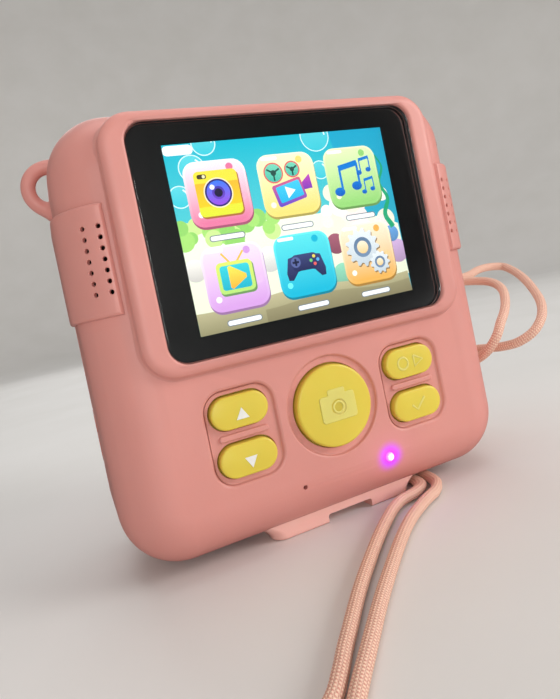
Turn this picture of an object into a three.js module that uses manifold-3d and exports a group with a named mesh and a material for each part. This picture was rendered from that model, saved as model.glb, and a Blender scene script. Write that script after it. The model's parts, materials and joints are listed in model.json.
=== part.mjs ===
// Children's instant-print camera, screen side towards -Y, lens side towards +Y, +Z up.
// Millimetres. The origin is the middle of the foot's resting face.
import * as THREE from 'three';
import { mergeVertices } from 'three/addons/utils/BufferGeometryUtils.js';
import Module from 'manifold-3d';

const wasm = await Module();
wasm.setup();

// ---------------------------------------------------------------- driving dimensions
const BODY = { width: 91, bottom: 2, top: 92, front: -20.2, back: 21.8, corner: 12.5, edge: 11, wall: 1.8 };
const SPLIT_Y = 1;                  // parting plane between the two case halves
const SNUG = 0.1;                   // gap between pieces that are fixed to each other
const GAP = 0.3;                    // gap round pieces that move

const SCREEN_Z = 64;                // height of the screen's middle
const GLASS = { width: 62.8, height: 45.5, corner: 4, front: -22, thick: 1.2 };
const LCD = { width: 60, height: 44, viewWidth: 54, viewHeight: 41, front: -19.5, thick: 2.6 };
const LCD_ROOM = 0.2;                // gap all round the display in its seat
const BEZEL = {
  rimWidth: 72.8, rimHeight: 50.2, corner: 6.5, drop: 0.2, front: -22.6, round: 0.8,
  flare: 0.6, flareY: -19.2, back: -15.6, glassSeat: -20.7,
};
const BEZEL_PLUG = { width: 65.4, height: 48, corner: 5, front: -21, back: -16.4, room: 0.2 };
const HOLDER = {
  width: 64, height: 45.6, corner: 2, thick: 1, openHalfWidth: 26, openHalfHeight: 17, ribbonHalf: 9.5,
};
const RIBBON = { width: 16, thick: 0.25, top: 50, bend: 45, board: 38.5, end: 33, lift: 0.3 };

const GRIP = { inner: 37.4, bottom: 52.6, top: 73.3, proud: 1, back: 6, bezelRoom: 0.15, soundMargin: 2 };
const GRIP_HOLE = { radius: 0.45, columns: [38.9, 41.6], bottom: 57, pitch: 2.02, rows: 7 };
const EYELET = { x: 44.3, y: 4.5, z: 83.1, ring: 4.75, tube: 1.5 };
const FOOT = {
  x: 0.5, width: 36.5, depth: 30, corner: 3, notchX: 1.5, notch: 11, notchHeight: 1.5, notchDepth: 5,
};

const BUTTON = {
  front: -21.3, capBack: -17.5, flange: 0.9, flangeFront: -18.2, flangeThick: 0.8, stem: 1.6, stemEnd: -17.1,
};
const PAD_BUTTONS = [
  { name: 'up', x: -20.2, z: 30.1, width: 11.8, height: 6.4 },
  { name: 'down', x: -20.2, z: 20.7, width: 11.8, height: 6.4 },
  { name: 'mode', x: 19.9, z: 30.3, width: 12.3, height: 6.5 },
  { name: 'ok', x: 19.9, z: 20.8, width: 12.3, height: 6.5 },
];
const SHUTTER = {
  x: 0, z: 25.7, radius: 8.6, groove: 10.4, grooveDepth: 0.8, crownStep: 0.5, crownRise: 0.4,
};
const PAD_RECESS = { depth: 0.6, corner: 3.5, rib: 1.2, ribMargin: 2, ribRise: 0.1 };
const PAD_PANELS = [
  { x: -19.9, z: 25.2, width: 14.4, height: 18.6 },
  { x: 20.3, z: 25.4, width: 14.6, height: 18.4 },
];
const LED = { x: 10.9, z: 11.25, radius: 1, proud: 0.3, collar: 0.7 };
const MIC = { x: -9.8, z: 11.15, radius: 0.5, capsule: 2, length: 1.5 };
const CHIN_INSIDE = -17.4;          // clear of the curved inside of the lower front edge

const BOARD = {
  front: -14.3, thick: 1.6, narrow: 32, wide: 39, bottom: 8, top: 87.5, wideBottom: 21, wideTop: 50,
};
const SWITCH = { size: 6, height: 1.9, plunger: 1.7, plungerHeight: 0.2 };
const POWER = { y: -7, z: 45, radius: 3, proud: 0.9, inward: 0.6, flange: 1, flangeThick: 0.7 };
const POWER_SWITCH = { from: 36.4, to: 41.2, plungerTo: 42, plunger: 1.5, halfSize: 3 };
const BATTERY = { width: 60, height: 38, corner: 2, thick: 8, y: -7.8, z: 28 };
const SPEAKER = { inner: 34, outer: 41, front: -13.6, back: -2, bottom: 56, top: 70, rim: 1, cone: 3 };

const LENS = {
  z: 44, outer: 15, ringOuter: 12.6, bore: 10.6, collarFront: 27.5, front: 29.5, ringBack: 24.3,
  barrelBack: 9, barrelFront: 24, neck: 9.4, neckTop: 19, shoulder: 19.6,
  cone: 9.2, coneBack: 17.6, seat: 4.2, seatFront: 17.2, seatBack: 12,
};
const ELEMENT = { radius: 3.8, back: 12.3, rim: 17.6, front: 18.2, lip: 2 };
const COVER = { back: 24.4, rim: 25.4, step: 26, stepRadius: 7, crown: 26.4 };
const SENSOR = { half: 9, front: 7.2, back: 8.8 };
const FLASH = { x: 21, z: 63, radius: 3.6, proud: 0.4, back: 19.2, flange: 0.9, flangeBack: 19 };
const SCREW = {
  x: 36, low: 14, high: 79, head: 2.5, headRoom: 0.4, headThick: 2, shank: 1.1, tip: -5, boreEnd: -6,
  boss: 3, bossEnd: 10, tower: 4, towerStart: 10.2, towerEnd: 21, seat: 12.5,
  slotFloor: 1.1, slotLong: 1.5, slotShort: 0.3,
};

const DOOR = { halfWidth: 31, slotFront: -7.2, front: -4.2, bottom: 71.5 };
const HINGE = { y: 22.2, z: 71.1, barrel: 1.5, pin: 0.75, halfLength: 28 };
const FIXED_EYES = [[-27, -21], [-3, 3], [21, 27]];
const DOOR_EYES = [[-20.6, -3.4], [3.4, 20.6]];
const ROLL = { y: 6.5, z: 73, radius: 12, core: 5, journal: 3, width: 57, endGap: 0.2 };
const TEAR_BAR = { halfLength: 28, bottom: 89.4, root: 91.8, tip: 92.5, teeth: 20, thick: 0.6 };
const PLATEN = { y: -5.5, z: 84, radius: 3, halfLength: 28, shaft: 1.2, shaftEnd: 30.7 };
const HEAD = { thick: 1, bottom: 80.6, top: 87 };
const SPRING = { half: 24, thick: 0.3, bow: 0.75, bottom: 82.4, height: 3, stand: 0.8 };
const CHEEK = { inner: 29.5, outer: 30.9, front: -11.8, back: 18.6, bottom: 61.5, top: 88 };
const MOTOR_PLATE = { back: 4, bottom: 48.5, top: 62.5, bore: 2.4 };
const RAIL = { thick: 1.2, bottom: 66, top: 80 };
const PRINTER_FLOOR = { front: 4, back: 14, bottom: 58.6, top: 60, legTop: 62.5 };
const GEAR_X = { inner: 31.3, outer: 32.5 };
const GEARS = [
  { name: 'platen_gear', radius: 3.5, y: -5.5, z: 84, teeth: 14 },
  { name: 'upper_idler_gear', radius: 6, y: -4, z: 74.47, teeth: 24 },
  { name: 'lower_idler_gear', radius: 6, y: -5.5, z: 62.41, teeth: 24 },
  { name: 'motor_pinion', radius: 2, y: -3.5, z: 54.51, teeth: 8 },
];
const MOTOR = { radius: 5.5, length: 12, y: GEARS[3].y, z: GEARS[3].z, shaft: 0.8 };
const GEAR_POST = 0.9;
const PORT = {
  y: 9, z: 27, width: 11, height: 13, flap: 1.2, flapSink: 0.2, socketWidth: 9, socketHeight: 3.2,
};
const SOCKET = { from: -43.2, to: -35.8, mouth: -38, wall: 0.4 };
const SIDE_BOARD = { from: -43, to: -31, front: 10.9, back: 12.1, bottom: 19, top: 56 };
const CARD = { y: 9, z: 47, from: -45.3, width: 11, thick: 1, length: 14.4 };
const CARD_SOCKET = { from: -43, to: -30, stop: -30.6, front: 1.2, back: 1.4, margin: 1.2 };
const CORD = { radius: 1.2, sides: 6, steps: 130, flatten: 0.32 };
const SLEEVE = { from: [40.6, 28, 59.4], to: [40.3, 27.5, 65.8], radius: 2.6, endRadius: 2 };
const THREAD = { radius: 0.4, sides: 4, steps: 36 };

// ---------------------------------------------------------------- materials
function finish(colour, roughness = 0.5, metalness = 0) {
  return new THREE.MeshStandardMaterial({ color: colour, roughness, metalness });
}
const PINK = finish(0xd98c7c, 0.5);
const PALE_PINK = finish(0xdda092, 0.45);
const YELLOW = finish(0xdccb5a, 0.4);
const BLACK_GLASS = finish(0x0c0e10, 0.08);
const CLEAR = finish(0xe8f0f4, 0.05);
const DARK = finish(0x26282a, 0.6);
const METAL = finish(0xb8bcc0, 0.3, 1);
const GREEN_BOARD = finish(0x1f6b45, 0.6);
const SILVER_WRAP = finish(0xc4c8cc, 0.4, 0.6);
const RUBBER = finish(0xb9766a, 0.85);
const PAPER = finish(0xf6f4ee, 0.9);
const NYLON = finish(0xeae6dc, 0.5);
const CORD_PINK = finish(0xdfa697, 0.9);
const FLEX = finish(0xb8752a, 0.5);

// ---------------------------------------------------------------- solids
function welded(geometry) {
  const bare = geometry.clone();
  bare.deleteAttribute('normal');
  bare.deleteAttribute('uv');
  return mergeVertices(bare, 1e-4);
}

function solid(geometry) {
  const merged = welded(geometry);
  const vertProperties = new Float32Array(merged.attributes.position.array);
  const triVerts = new Uint32Array(merged.index.array);
  return new wasm.Manifold(new wasm.Mesh({ numProp: 3, vertProperties, triVerts }));
}

function toGeometry(shape) {
  const mesh = shape.getMesh();
  const geometry = new THREE.BufferGeometry();
  geometry.setAttribute('position', new THREE.BufferAttribute(new Float32Array(mesh.vertProperties), 3));
  geometry.setIndex(new THREE.BufferAttribute(new Uint32Array(mesh.triVerts), 1));
  return geometry;
}

function join(first, ...others) {
  return others.reduce((sum, piece) => sum.add(piece), first);
}

function cut(first, ...others) {
  return others.reduce((rest, piece) => rest.subtract(piece), first);
}

function block(x0, x1, y0, y1, z0, z1) {
  const box = new THREE.BoxGeometry(x1 - x0, y1 - y0, z1 - z0);
  return solid(box.translate((x0 + x1) / 2, (y0 + y1) / 2, (z0 + z1) / 2));
}

// A round bar between two points.
function rod(radius, from, to, sides = 24, endRadius = radius) {
  const start = new THREE.Vector3(...from);
  const way = new THREE.Vector3(...to).sub(start);
  const bar = new THREE.CylinderGeometry(endRadius, radius, way.length(), sides);
  bar.translate(0, way.length() / 2, 0);
  bar.applyQuaternion(new THREE.Quaternion().setFromUnitVectors(new THREE.Vector3(0, 1, 0), way.normalize()));
  return solid(bar.translate(start.x, start.y, start.z));
}

function roundedRect(width, height, radius) {
  const shape = new THREE.Shape();
  const w = width / 2;
  const h = height / 2;
  shape.absarc(w - radius, h - radius, radius, 0, Math.PI / 2);
  shape.absarc(-w + radius, h - radius, radius, Math.PI / 2, Math.PI);
  shape.absarc(-w + radius, -h + radius, radius, Math.PI, Math.PI * 1.5);
  shape.absarc(w - radius, -h + radius, radius, Math.PI * 1.5, Math.PI * 2);
  return shape;
}

// A flat outline in X and Z, given thickness from yFront back to yBack.
function plate(shape, x, z, yFront, yBack, curveSegments = 6) {
  const depth = yBack - yFront;
  const geometry = new THREE.ExtrudeGeometry(shape, { depth, bevelEnabled: false, curveSegments });
  return solid(geometry.rotateX(Math.PI / 2).translate(x, yBack, z));
}

function roundedPlate(width, height, radius, x, z, yFront, yBack, curveSegments = 6) {
  return plate(roundedRect(width, height, radius), x, z, yFront, yBack, curveSegments);
}

// A plate with fully rounded ends.
function pill(width, height, x, z, yFront, yBack) {
  return roundedPlate(width, height, height / 2 - 0.01, x, z, yFront, yBack, 4);
}

// A closed skin through a row of rings that hold the same number of points.
function loft(rings) {
  const around = rings[0].length;
  const points = rings.flat();
  const ends = [rings[0], rings[rings.length - 1]].map(middleOf);
  const positions = [...points, ...ends].flatMap((p) => [p.x, p.y, p.z]);
  const index = [];
  for (let r = 0; r + 1 < rings.length; r += 1) {
    for (let i = 0; i < around; i += 1) {
      const a = r * around + i;
      const b = r * around + (i + 1) % around;
      index.push(a, b, a + around, b, b + around, a + around);
    }
  }
  const last = (rings.length - 1) * around;
  for (let i = 0; i < around; i += 1) {
    const next = (i + 1) % around;
    index.push(points.length, next, i);
    index.push(points.length + 1, last + i, last + next);
  }
  const geometry = new THREE.BufferGeometry();
  geometry.setAttribute('position', new THREE.Float32BufferAttribute(positions, 3));
  geometry.setIndex(index);
  return faceOutward(geometry);
}

function middleOf(ring) {
  const sum = ring.reduce((total, point) => total.add(point), new THREE.Vector3());
  return sum.divideScalar(ring.length);
}

function faceOutward(geometry) {
  const place = geometry.attributes.position;
  const index = geometry.index.array;
  const corner = (k) => new THREE.Vector3().fromBufferAttribute(place, index[k]);
  let volume = 0;
  for (let k = 0; k < index.length; k += 3) {
    volume += corner(k).dot(corner(k + 1).cross(corner(k + 2)));
  }
  if (volume < 0) {
    geometry.setIndex(Array.from(index).reverse());
  }
  return geometry;
}

// One ring of a rounded rectangle in X and Z at depth y.
function ringAt(y, halfWidth, halfHeight, radius, middleZ, perCorner) {
  const ring = [];
  for (let quarter = 0; quarter < 4; quarter += 1) {
    const sideX = quarter === 0 || quarter === 3 ? 1 : -1;
    const sideZ = quarter < 2 ? 1 : -1;
    for (let i = 0; i <= perCorner; i += 1) {
      const angle = (quarter + i / perCorner) * Math.PI / 2;
      const x = sideX * (halfWidth - radius) + radius * Math.cos(angle);
      const z = sideZ * (halfHeight - radius) + radius * Math.sin(angle);
      ring.push(new THREE.Vector3(x, y, middleZ + z));
    }
  }
  return ring;
}

// The rounded outside form of the case, grown outward by a distance.
function caseForm(grow, edgeSteps = 5) {
  const edge = BODY.edge + grow;
  const front = BODY.front - grow;
  const back = BODY.back + grow;
  const insets = [];
  for (let i = 0; i <= edgeSteps; i += 1) {
    const angle = i / edgeSteps * Math.PI / 2;
    insets.push({ along: edge * (1 - Math.cos(angle)), inset: edge * (1 - Math.sin(angle)) });
  }
  const stations = [
    ...insets.map((s) => ({ y: front + s.along, inset: s.inset })),
    ...insets.reverse().map((s) => ({ y: back - s.along, inset: s.inset })),
  ];
  const middleZ = (BODY.top + BODY.bottom) / 2;
  const halfHeight = (BODY.top - BODY.bottom) / 2;
  return solid(loft(stations.map((s) => ringAt(
    s.y, BODY.width / 2 + grow - s.inset, halfHeight + grow - s.inset,
    BODY.corner + grow - s.inset, middleZ, 5))));
}

// A tube along a curve; squeeze gives the height of each section as a share of its width.
function tube(curve, radius, sides, steps, squeeze = () => 1) {
  const rings = [];
  for (let s = 0; s <= steps; s += 1) {
    const centre = curve.getPointAt(s / steps);
    const way = curve.getTangentAt(s / steps);
    const side = new THREE.Vector3().crossVectors(way, new THREE.Vector3(0, 0, 1)).normalize();
    const up = new THREE.Vector3().crossVectors(side, way);
    const ring = [];
    for (let i = 0; i < sides; i += 1) {
      const angle = i / sides * Math.PI * 2;
      const flat = squeeze(centre);
      const point = centre.clone();
      point.addScaledVector(side, radius * Math.cos(angle) * (2 - flat));
      point.addScaledVector(up, radius * Math.sin(angle) * flat);
      ring.push(point);
    }
    rings.push(ring);
  }
  return solid(loft(rings));
}

// ---------------------------------------------------------------- case halves
const outside = caseForm(0);
const hollow = cut(outside, caseForm(-BODY.wall));

function frontHalf(shape) {
  return shape.intersect(block(-60, 60, -40, SPLIT_Y - SNUG / 2, -10, 110));
}

function backHalf(shape) {
  return shape.intersect(block(-60, 60, SPLIT_Y + SNUG / 2, 60, -10, 110));
}

function padHole(pad) {
  return pill(pad.width + 2 * GAP, pad.height + 2 * GAP, pad.x, pad.z, BODY.front - 2, BODY.front + 4);
}

function recess(panel) {
  return roundedPlate(panel.width, panel.height, PAD_RECESS.corner, panel.x, panel.z,
    BODY.front - 2, BODY.front + PAD_RECESS.depth, 3);
}

function rib(panel) {
  const half = panel.width / 2 - PAD_RECESS.ribMargin;
  const middle = panel.z + PAD_RECESS.ribRise;
  return block(panel.x - half, panel.x + half, BODY.front, BODY.front + BODY.wall / 2,
    middle - PAD_RECESS.rib / 2, middle + PAD_RECESS.rib / 2);
}

function screwPlaces() {
  return [-1, 1].flatMap((side) => [SCREW.low, SCREW.high].map((z) => ({ x: side * SCREW.x, z })));
}

// A round hole along Y, through the front wall of the case.
function frontHole(radius, { x, z }, sides) {
  return rod(radius, [x, -30, z], [x, -15, z], sides);
}

function screwBoss({ x, z }) {
  const post = rod(SCREW.boss, [x, BODY.front + BODY.wall - 0.6, z], [x, SCREW.bossEnd, z], 10);
  const bore = rod(SCREW.shank + SNUG, [x, SCREW.boreEnd, z], [x, SCREW.bossEnd + 2, z], 8);
  return post.subtract(bore);
}

function screenSideShell() {
  const { width, height, corner, room } = BEZEL_PLUG;
  const { x, z, groove, grooveDepth } = SHUTTER;
  const window = roundedPlate(width + 2 * room, height + 2 * room, corner, 0, SCREEN_Z, -30, -15.2);
  const grooveRing = rod(groove, [x, -30, z], [x, BODY.front + grooveDepth, z], 28);
  const shutterHole = frontHole(SHUTTER.radius + GAP, SHUTTER, 28);
  const bossed = join(frontHalf(hollow), ...screwPlaces().map(screwBoss));
  const opened = cut(bossed, window, grooveRing, shutterHole, ...PAD_PANELS.map(recess));
  const ribbed = cut(join(opened, ...PAD_PANELS.map(rib)), ...PAD_BUTTONS.map(padHole));
  const ledHole = frontHole(LED.radius + SNUG, LED, 12);
  const micHole = frontHole(MIC.radius, MIC, 8);
  const powerHole = rod(POWER.radius + GAP, [40, POWER.y, POWER.z], [50, POWER.y, POWER.z], 20);
  const soundOpening = block(GRIP.inner + 0.8, 44, -24, -12,
    GRIP.bottom + GRIP.soundMargin, GRIP.top - GRIP.soundMargin);
  return cut(ribbed, ledHole, micHole, powerHole, paperDoorway(), soundOpening, mirrored(soundOpening));
}

function eyelet(side) {
  const ring = new THREE.TorusGeometry(EYELET.ring, EYELET.tube, 6, 16).rotateX(Math.PI / 2);
  return solid(ring.translate(side * EYELET.x, EYELET.y, EYELET.z)).subtract(caseForm(-BODY.wall));
}

// Round clearance along the door hinge between two places.
function hingeRoom([x0, x1]) {
  const reach = HINGE.barrel + GAP;
  return rod(reach, [x0 - GAP, HINGE.y, HINGE.z], [x1 + GAP, HINGE.y, HINGE.z], 16);
}

function hingeEye([x0, x1]) {
  return rod(HINGE.barrel, [x0, HINGE.y, HINGE.z], [x1, HINGE.y, HINGE.z], 16);
}

function hingeBore() {
  const end = HINGE.halfLength + 2;
  return rod(HINGE.pin + SNUG, [-end, HINGE.y, HINGE.z], [end, HINGE.y, HINGE.z], 12);
}

function screwTower({ x, z }) {
  return rod(SCREW.tower, [x, SCREW.towerStart, z], [x, SCREW.towerEnd, z], 12);
}

function screwRecess({ x, z }) {
  const headRoom = rod(SCREW.head + SCREW.headRoom, [x, SCREW.seat, z], [x, 30, z], 12);
  const shankRoom = rod(SCREW.shank + SNUG, [x, 5, z], [x, 30, z], 8);
  return join(headRoom, shankRoom);
}

function paperDoorway() {
  return block(-DOOR.halfWidth - GAP, DOOR.halfWidth + GAP, DOOR.slotFront, 40, DOOR.bottom - GAP, 110);
}

function lensSideShell() {
  const body = backHalf(join(hollow, eyelet(-1), eyelet(1)));
  const wallRegion = caseForm(-BODY.wall / 2);
  const towers = screwPlaces().map((place) => screwTower(place).intersect(wallRegion));
  const collar = rod(LENS.outer, [0, 21, LENS.z], [0, LENS.collarFront, LENS.z], 28);
  let shell = join(body, ...towers, collar, ...FIXED_EYES.map(hingeEye));
  const doorway = cut(paperDoorway(), ...FIXED_EYES.map(hingeEye));
  const lensHole = rod(LENS.ringOuter + SNUG, [0, 10, LENS.z], [0, 40, LENS.z], 28);
  const flashHole = rod(FLASH.radius + SNUG, [FLASH.x, 10, FLASH.z], [FLASH.x, 30, FLASH.z], 20);
  shell = cut(shell, doorway, ...DOOR_EYES.map(hingeRoom), hingeBore(), lensHole, flashHole);
  return cut(shell, ...screwPlaces().map(screwRecess), portOpening(), cardSlot());
}

function portOpening() {
  const { y, z, width, height, flap, socketWidth, socketHeight } = PORT;
  const seatFloor = -BODY.width / 2 + flap;
  const seat = block(-50, seatFloor, y - width / 2, y + width / 2, z - height / 2, z + height / 2);
  const halfY = socketHeight / 2 + GAP;
  const halfZ = socketWidth / 2 + GAP;
  return join(seat, block(-50, -40, y - halfY, y + halfY, z - halfZ, z + halfZ));
}

function cardSlot() {
  const halfY = CARD.thick / 2 + GAP;
  const halfZ = CARD.width / 2 + GAP;
  return block(-50, -40, CARD.y - halfY, CARD.y + halfY, CARD.z - halfZ, CARD.z + halfZ);
}

// ---------------------------------------------------------------- screen and its frame
function bezelForm(grow) {
  const front = BEZEL.front - grow;
  const stations = [
    { y: front, inset: BEZEL.round },
    { y: front + BEZEL.round * 0.3, inset: BEZEL.round * 0.3 },
    { y: front + BEZEL.round, inset: 0 },
    { y: BEZEL.flareY, inset: -BEZEL.flare },
    { y: BEZEL.back, inset: -BEZEL.flare },
  ];
  return solid(loft(stations.map((s) => ringAt(
    s.y, BEZEL.rimWidth / 2 - s.inset + grow, BEZEL.rimHeight / 2 - s.inset + grow,
    BEZEL.corner - s.inset + grow, SCREEN_Z - BEZEL.drop, 4))));
}

// A rounded plate in the middle of the screen.
function screenPlate(width, height, corner, yFront, yBack, curveSegments) {
  return roundedPlate(width, height, corner, 0, SCREEN_Z, yFront, yBack, curveSegments);
}

function screenBezel() {
  const rim = bezelForm(0).subtract(caseForm(SNUG));
  const { width, height, corner, front, back } = BEZEL_PLUG;
  const plug = screenPlate(width, height, corner, front, back);
  const glassSeat = screenPlate(GLASS.width + GAP, GLASS.height + GAP, GLASS.corner, -30, BEZEL.glassSeat);
  const view = screenPlate(LCD.viewWidth, LCD.viewHeight, 1, -30, -10, 2);
  const lcdSeat = screenPlate(
    LCD.width + 2 * LCD_ROOM, LCD.height + 2 * LCD_ROOM, 1, LCD.front - SNUG, -10, 2);
  return cut(join(rim, plug), glassSeat, view, lcdSeat);
}

function screenWindow() {
  return screenPlate(GLASS.width, GLASS.height, GLASS.corner, GLASS.front, GLASS.front + GLASS.thick);
}

function lcdPanel() {
  return screenPlate(LCD.width, LCD.height, 0.8, LCD.front, LCD.front + LCD.thick, 2);
}

function lcdHolder() {
  const { width, height, corner, thick, openHalfWidth, openHalfHeight, ribbonHalf } = HOLDER;
  const front = BEZEL_PLUG.back + SNUG;
  const frame = screenPlate(width, height, corner, front, front + thick, 3);
  const middle = block(-openHalfWidth, openHalfWidth, -20, -10,
    SCREEN_Z - openHalfHeight, SCREEN_Z + openHalfHeight);
  const ribbonNotch = block(-ribbonHalf, ribbonHalf, -20, -10, 30, 60);
  return cut(frame, middle, ribbonNotch);
}

// The flat cable leaves the back of the display, bends down and lies on the board.
function lcdRibbon() {
  const displayBack = LCD.front + LCD.thick + SNUG;
  const onBoard = BOARD.front - SNUG - RIBBON.lift;
  const path = [
    [displayBack, RIBBON.top], [displayBack, RIBBON.bend],
    [onBoard, RIBBON.board], [onBoard, RIBBON.end],
  ];
  const strip = new THREE.Shape();
  strip.moveTo(...path[0]);
  path.slice(1).forEach(([y, z]) => strip.lineTo(y, z));
  path.reverse().forEach(([y, z]) => strip.lineTo(y + RIBBON.thick, z));
  const geometry = new THREE.ExtrudeGeometry(strip, { depth: RIBBON.width, bevelEnabled: false });
  const turnToSide = new THREE.Matrix4().set(0, 0, 1, -RIBBON.width / 2, 1, 0, 0, 0, 0, 1, 0, 0, 0, 0, 0, 1);
  return solid(geometry.applyMatrix4(turnToSide));
}

// ---------------------------------------------------------------- grips and foot
function mirrored(shape) {
  return shape.mirror([1, 0, 0]);
}

function gripHoleAt(x, z) {
  const centreX = BODY.width / 2 - BODY.edge;
  const centreY = BODY.front + BODY.edge;
  const way = new THREE.Vector3(x - centreX, 0, 0);
  way.y = -Math.sqrt((BODY.edge + GRIP.proud) ** 2 - way.x ** 2);
  const inner = [centreX + way.x * 0.7, centreY + way.y * 0.7, z];
  const outer = [centreX + way.x * 1.2, centreY + way.y * 1.2, z];
  return rod(GRIP_HOLE.radius, inner, outer, 6);
}

function speakerGrip() {
  const skin = caseForm(GRIP.proud).subtract(caseForm(SNUG));
  const reach = block(GRIP.inner, 60, -40, GRIP.back, GRIP.bottom, GRIP.top);
  const grip = cut(skin.intersect(reach), bezelForm(GRIP.bezelRoom));
  const holes = GRIP_HOLE.columns.flatMap((x) => Array.from({ length: GRIP_HOLE.rows },
    (_, row) => gripHoleAt(x, GRIP_HOLE.bottom + row * GRIP_HOLE.pitch)));
  return cut(grip, ...holes);
}

function baseFoot() {
  const outline = new THREE.ExtrudeGeometry(roundedRect(FOOT.width, FOOT.depth, FOOT.corner),
    { depth: 8, bevelEnabled: false, curveSegments: 4 });
  const front = -FOOT.depth / 2;
  const notch = block(FOOT.notchX - FOOT.notch / 2, FOOT.notchX + FOOT.notch / 2,
    front - 1, front + FOOT.notchDepth, -1, FOOT.notchHeight);
  return cut(solid(outline.translate(FOOT.x, 0, 0)), caseForm(SNUG), notch);
}

// ---------------------------------------------------------------- buttons and switches
function buttonStem({ x, z }) {
  return rod(BUTTON.stem, [x, BUTTON.flangeFront, z], [x, BUTTON.stemEnd, z], 12);
}

function padButton(pad) {
  const { flange, flangeFront, flangeThick } = BUTTON;
  const cap = pill(pad.width, pad.height, pad.x, pad.z, BUTTON.front, BUTTON.capBack);
  const base = pill(pad.width + 2 * flange, pad.height + 2 * flange, pad.x, pad.z,
    flangeFront, flangeFront + flangeThick);
  return join(cap, base, buttonStem(pad));
}

function shutterButton() {
  const { x, z, radius, crownStep, crownRise } = SHUTTER;
  const { front, capBack, flange, flangeFront, flangeThick } = BUTTON;
  const cap = rod(radius, [x, front + crownRise, z], [x, capBack, z], 28);
  const crown = rod(radius - crownStep, [x, front, z], [x, capBack, z], 28);
  const base = rod(radius + flange, [x, flangeFront, z], [x, flangeFront + flangeThick, z], 24);
  return join(cap, crown, base, buttonStem(SHUTTER));
}

function tactSwitch(x, z) {
  const base = BOARD.front - SNUG;
  const half = SWITCH.size / 2;
  const top = base - SWITCH.height;
  const housing = block(x - half, x + half, top, base, z - half, z + half);
  const plunger = rod(SWITCH.plunger, [x, base - 1, z], [x, top - SWITCH.plungerHeight, z], 12);
  return join(housing, plunger);
}

function powerButton() {
  const { y, z, radius, proud, inward, flange, flangeThick } = POWER;
  const inside = BODY.width / 2 - BODY.wall;
  const cap = rod(radius, [BODY.width / 2 + proud, y, z], [inside - inward, y, z], 24);
  const base = rod(radius + flange, [inside - GAP, y, z], [inside - GAP - flangeThick, y, z], 24);
  return join(cap, base);
}

function powerSwitch() {
  const { y, z } = POWER;
  const { from, to, plungerTo, plunger, halfSize } = POWER_SWITCH;
  const boardBack = BOARD.front + BOARD.thick + SNUG;
  const housing = block(from, to, boardBack, y + halfSize, z - halfSize, z + halfSize);
  return join(housing, rod(plunger, [to - 0.2, y, z], [plungerTo, y, z], 12));
}

// ---------------------------------------------------------------- board and electronics
function mainBoard() {
  const back = BOARD.front + BOARD.thick;
  const tall = block(-BOARD.narrow, BOARD.narrow, BOARD.front, back, BOARD.bottom, BOARD.top);
  const wide = block(-BOARD.wide, BOARD.wide, BOARD.front, back, BOARD.wideBottom, BOARD.wideTop);
  return join(tall, wide);
}

function battery() {
  const { width, height, thick, y, z } = BATTERY;
  return roundedPlate(width, height, BATTERY.corner, 0, z, y - thick / 2, y + thick / 2, 3);
}

function speaker() {
  const { inner, outer, front, back, bottom, top, rim, cone } = SPEAKER;
  const x = (inner + outer) / 2;
  const z = (bottom + top) / 2;
  const box = block(inner, outer, front + rim, back, bottom, top);
  return join(box, rod(cone, [x, front, z], [x, front + 2 * rim, z], 20));
}

function micCapsule() {
  return rod(MIC.capsule, [MIC.x, CHIN_INSIDE, MIC.z], [MIC.x, CHIN_INSIDE + MIC.length, MIC.z], 16);
}

function statusLed() {
  const { x, z, radius, proud, collar } = LED;
  const tip = rod(radius, [x, BODY.front - proud, z], [x, CHIN_INSIDE + 0.4, z], 16);
  const base = rod(radius + collar, [x, CHIN_INSIDE, z], [x, BOARD.front - SNUG, z], 16);
  return join(tip, base);
}

// ---------------------------------------------------------------- lens side
function lensBarrel() {
  const { barrelBack, barrelFront, neck, neckTop, shoulder, bore } = LENS;
  const { cone, coneBack, seat, seatFront, seatBack } = LENS;
  const outer = LENS.ringOuter - SNUG;
  return turned([
    [0, barrelBack], [neck, barrelBack], [neck, neckTop], [outer, shoulder], [outer, barrelFront],
    [bore, barrelFront], [cone, coneBack], [seat, seatFront], [seat, seatBack], [0, seatBack],
  ]);
}

function lensRing() {
  const outer = LENS.ringOuter - SNUG;
  const inner = LENS.bore + 2 * SNUG;
  const profile = [
    [inner, LENS.ringBack], [outer, LENS.ringBack], [outer, LENS.front - 1],
    [outer - 0.7, LENS.front], [inner + 0.6, LENS.front - 0.4], [inner, LENS.ringBack + 1.1],
  ];
  return turned([...profile, profile[0]]);
}

function lensCover() {
  const { back, rim, step, stepRadius, crown } = COVER;
  const radius = LENS.bore + SNUG;
  return turned([[0, back], [radius, back], [radius, rim], [stepRadius, step], [0, crown]]);
}

function imagingLens() {
  const { radius, back, rim, front, lip } = ELEMENT;
  const shoulder = radius - 0.8;
  return turned([
    [0, back], [radius, back], [radius, rim], [shoulder, front], [lip, front], [0, front - 0.4],
  ]);
}

// A turned part on the lens axis; each profile point is a radius and a depth y.
function turned(profile) {
  const points = profile.map(([radius, y]) => new THREE.Vector2(radius, y));
  const geometry = new THREE.LatheGeometry(points, 28);
  return solid(faceOutward(welded(geometry))).translate([0, 0, LENS.z]);
}

function sensorBoard() {
  const { half, front, back } = SENSOR;
  return block(-half, half, front, back, LENS.z - half, LENS.z + half);
}

function flashWindow() {
  const { x, z, radius, proud, back, flange, flangeBack } = FLASH;
  const window = rod(radius, [x, back, z], [x, BODY.back + proud, z], 24);
  const base = rod(radius + flange, [x, flangeBack, z], [x, BODY.back - BODY.wall - SNUG, z], 24);
  return join(window, base);
}

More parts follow.
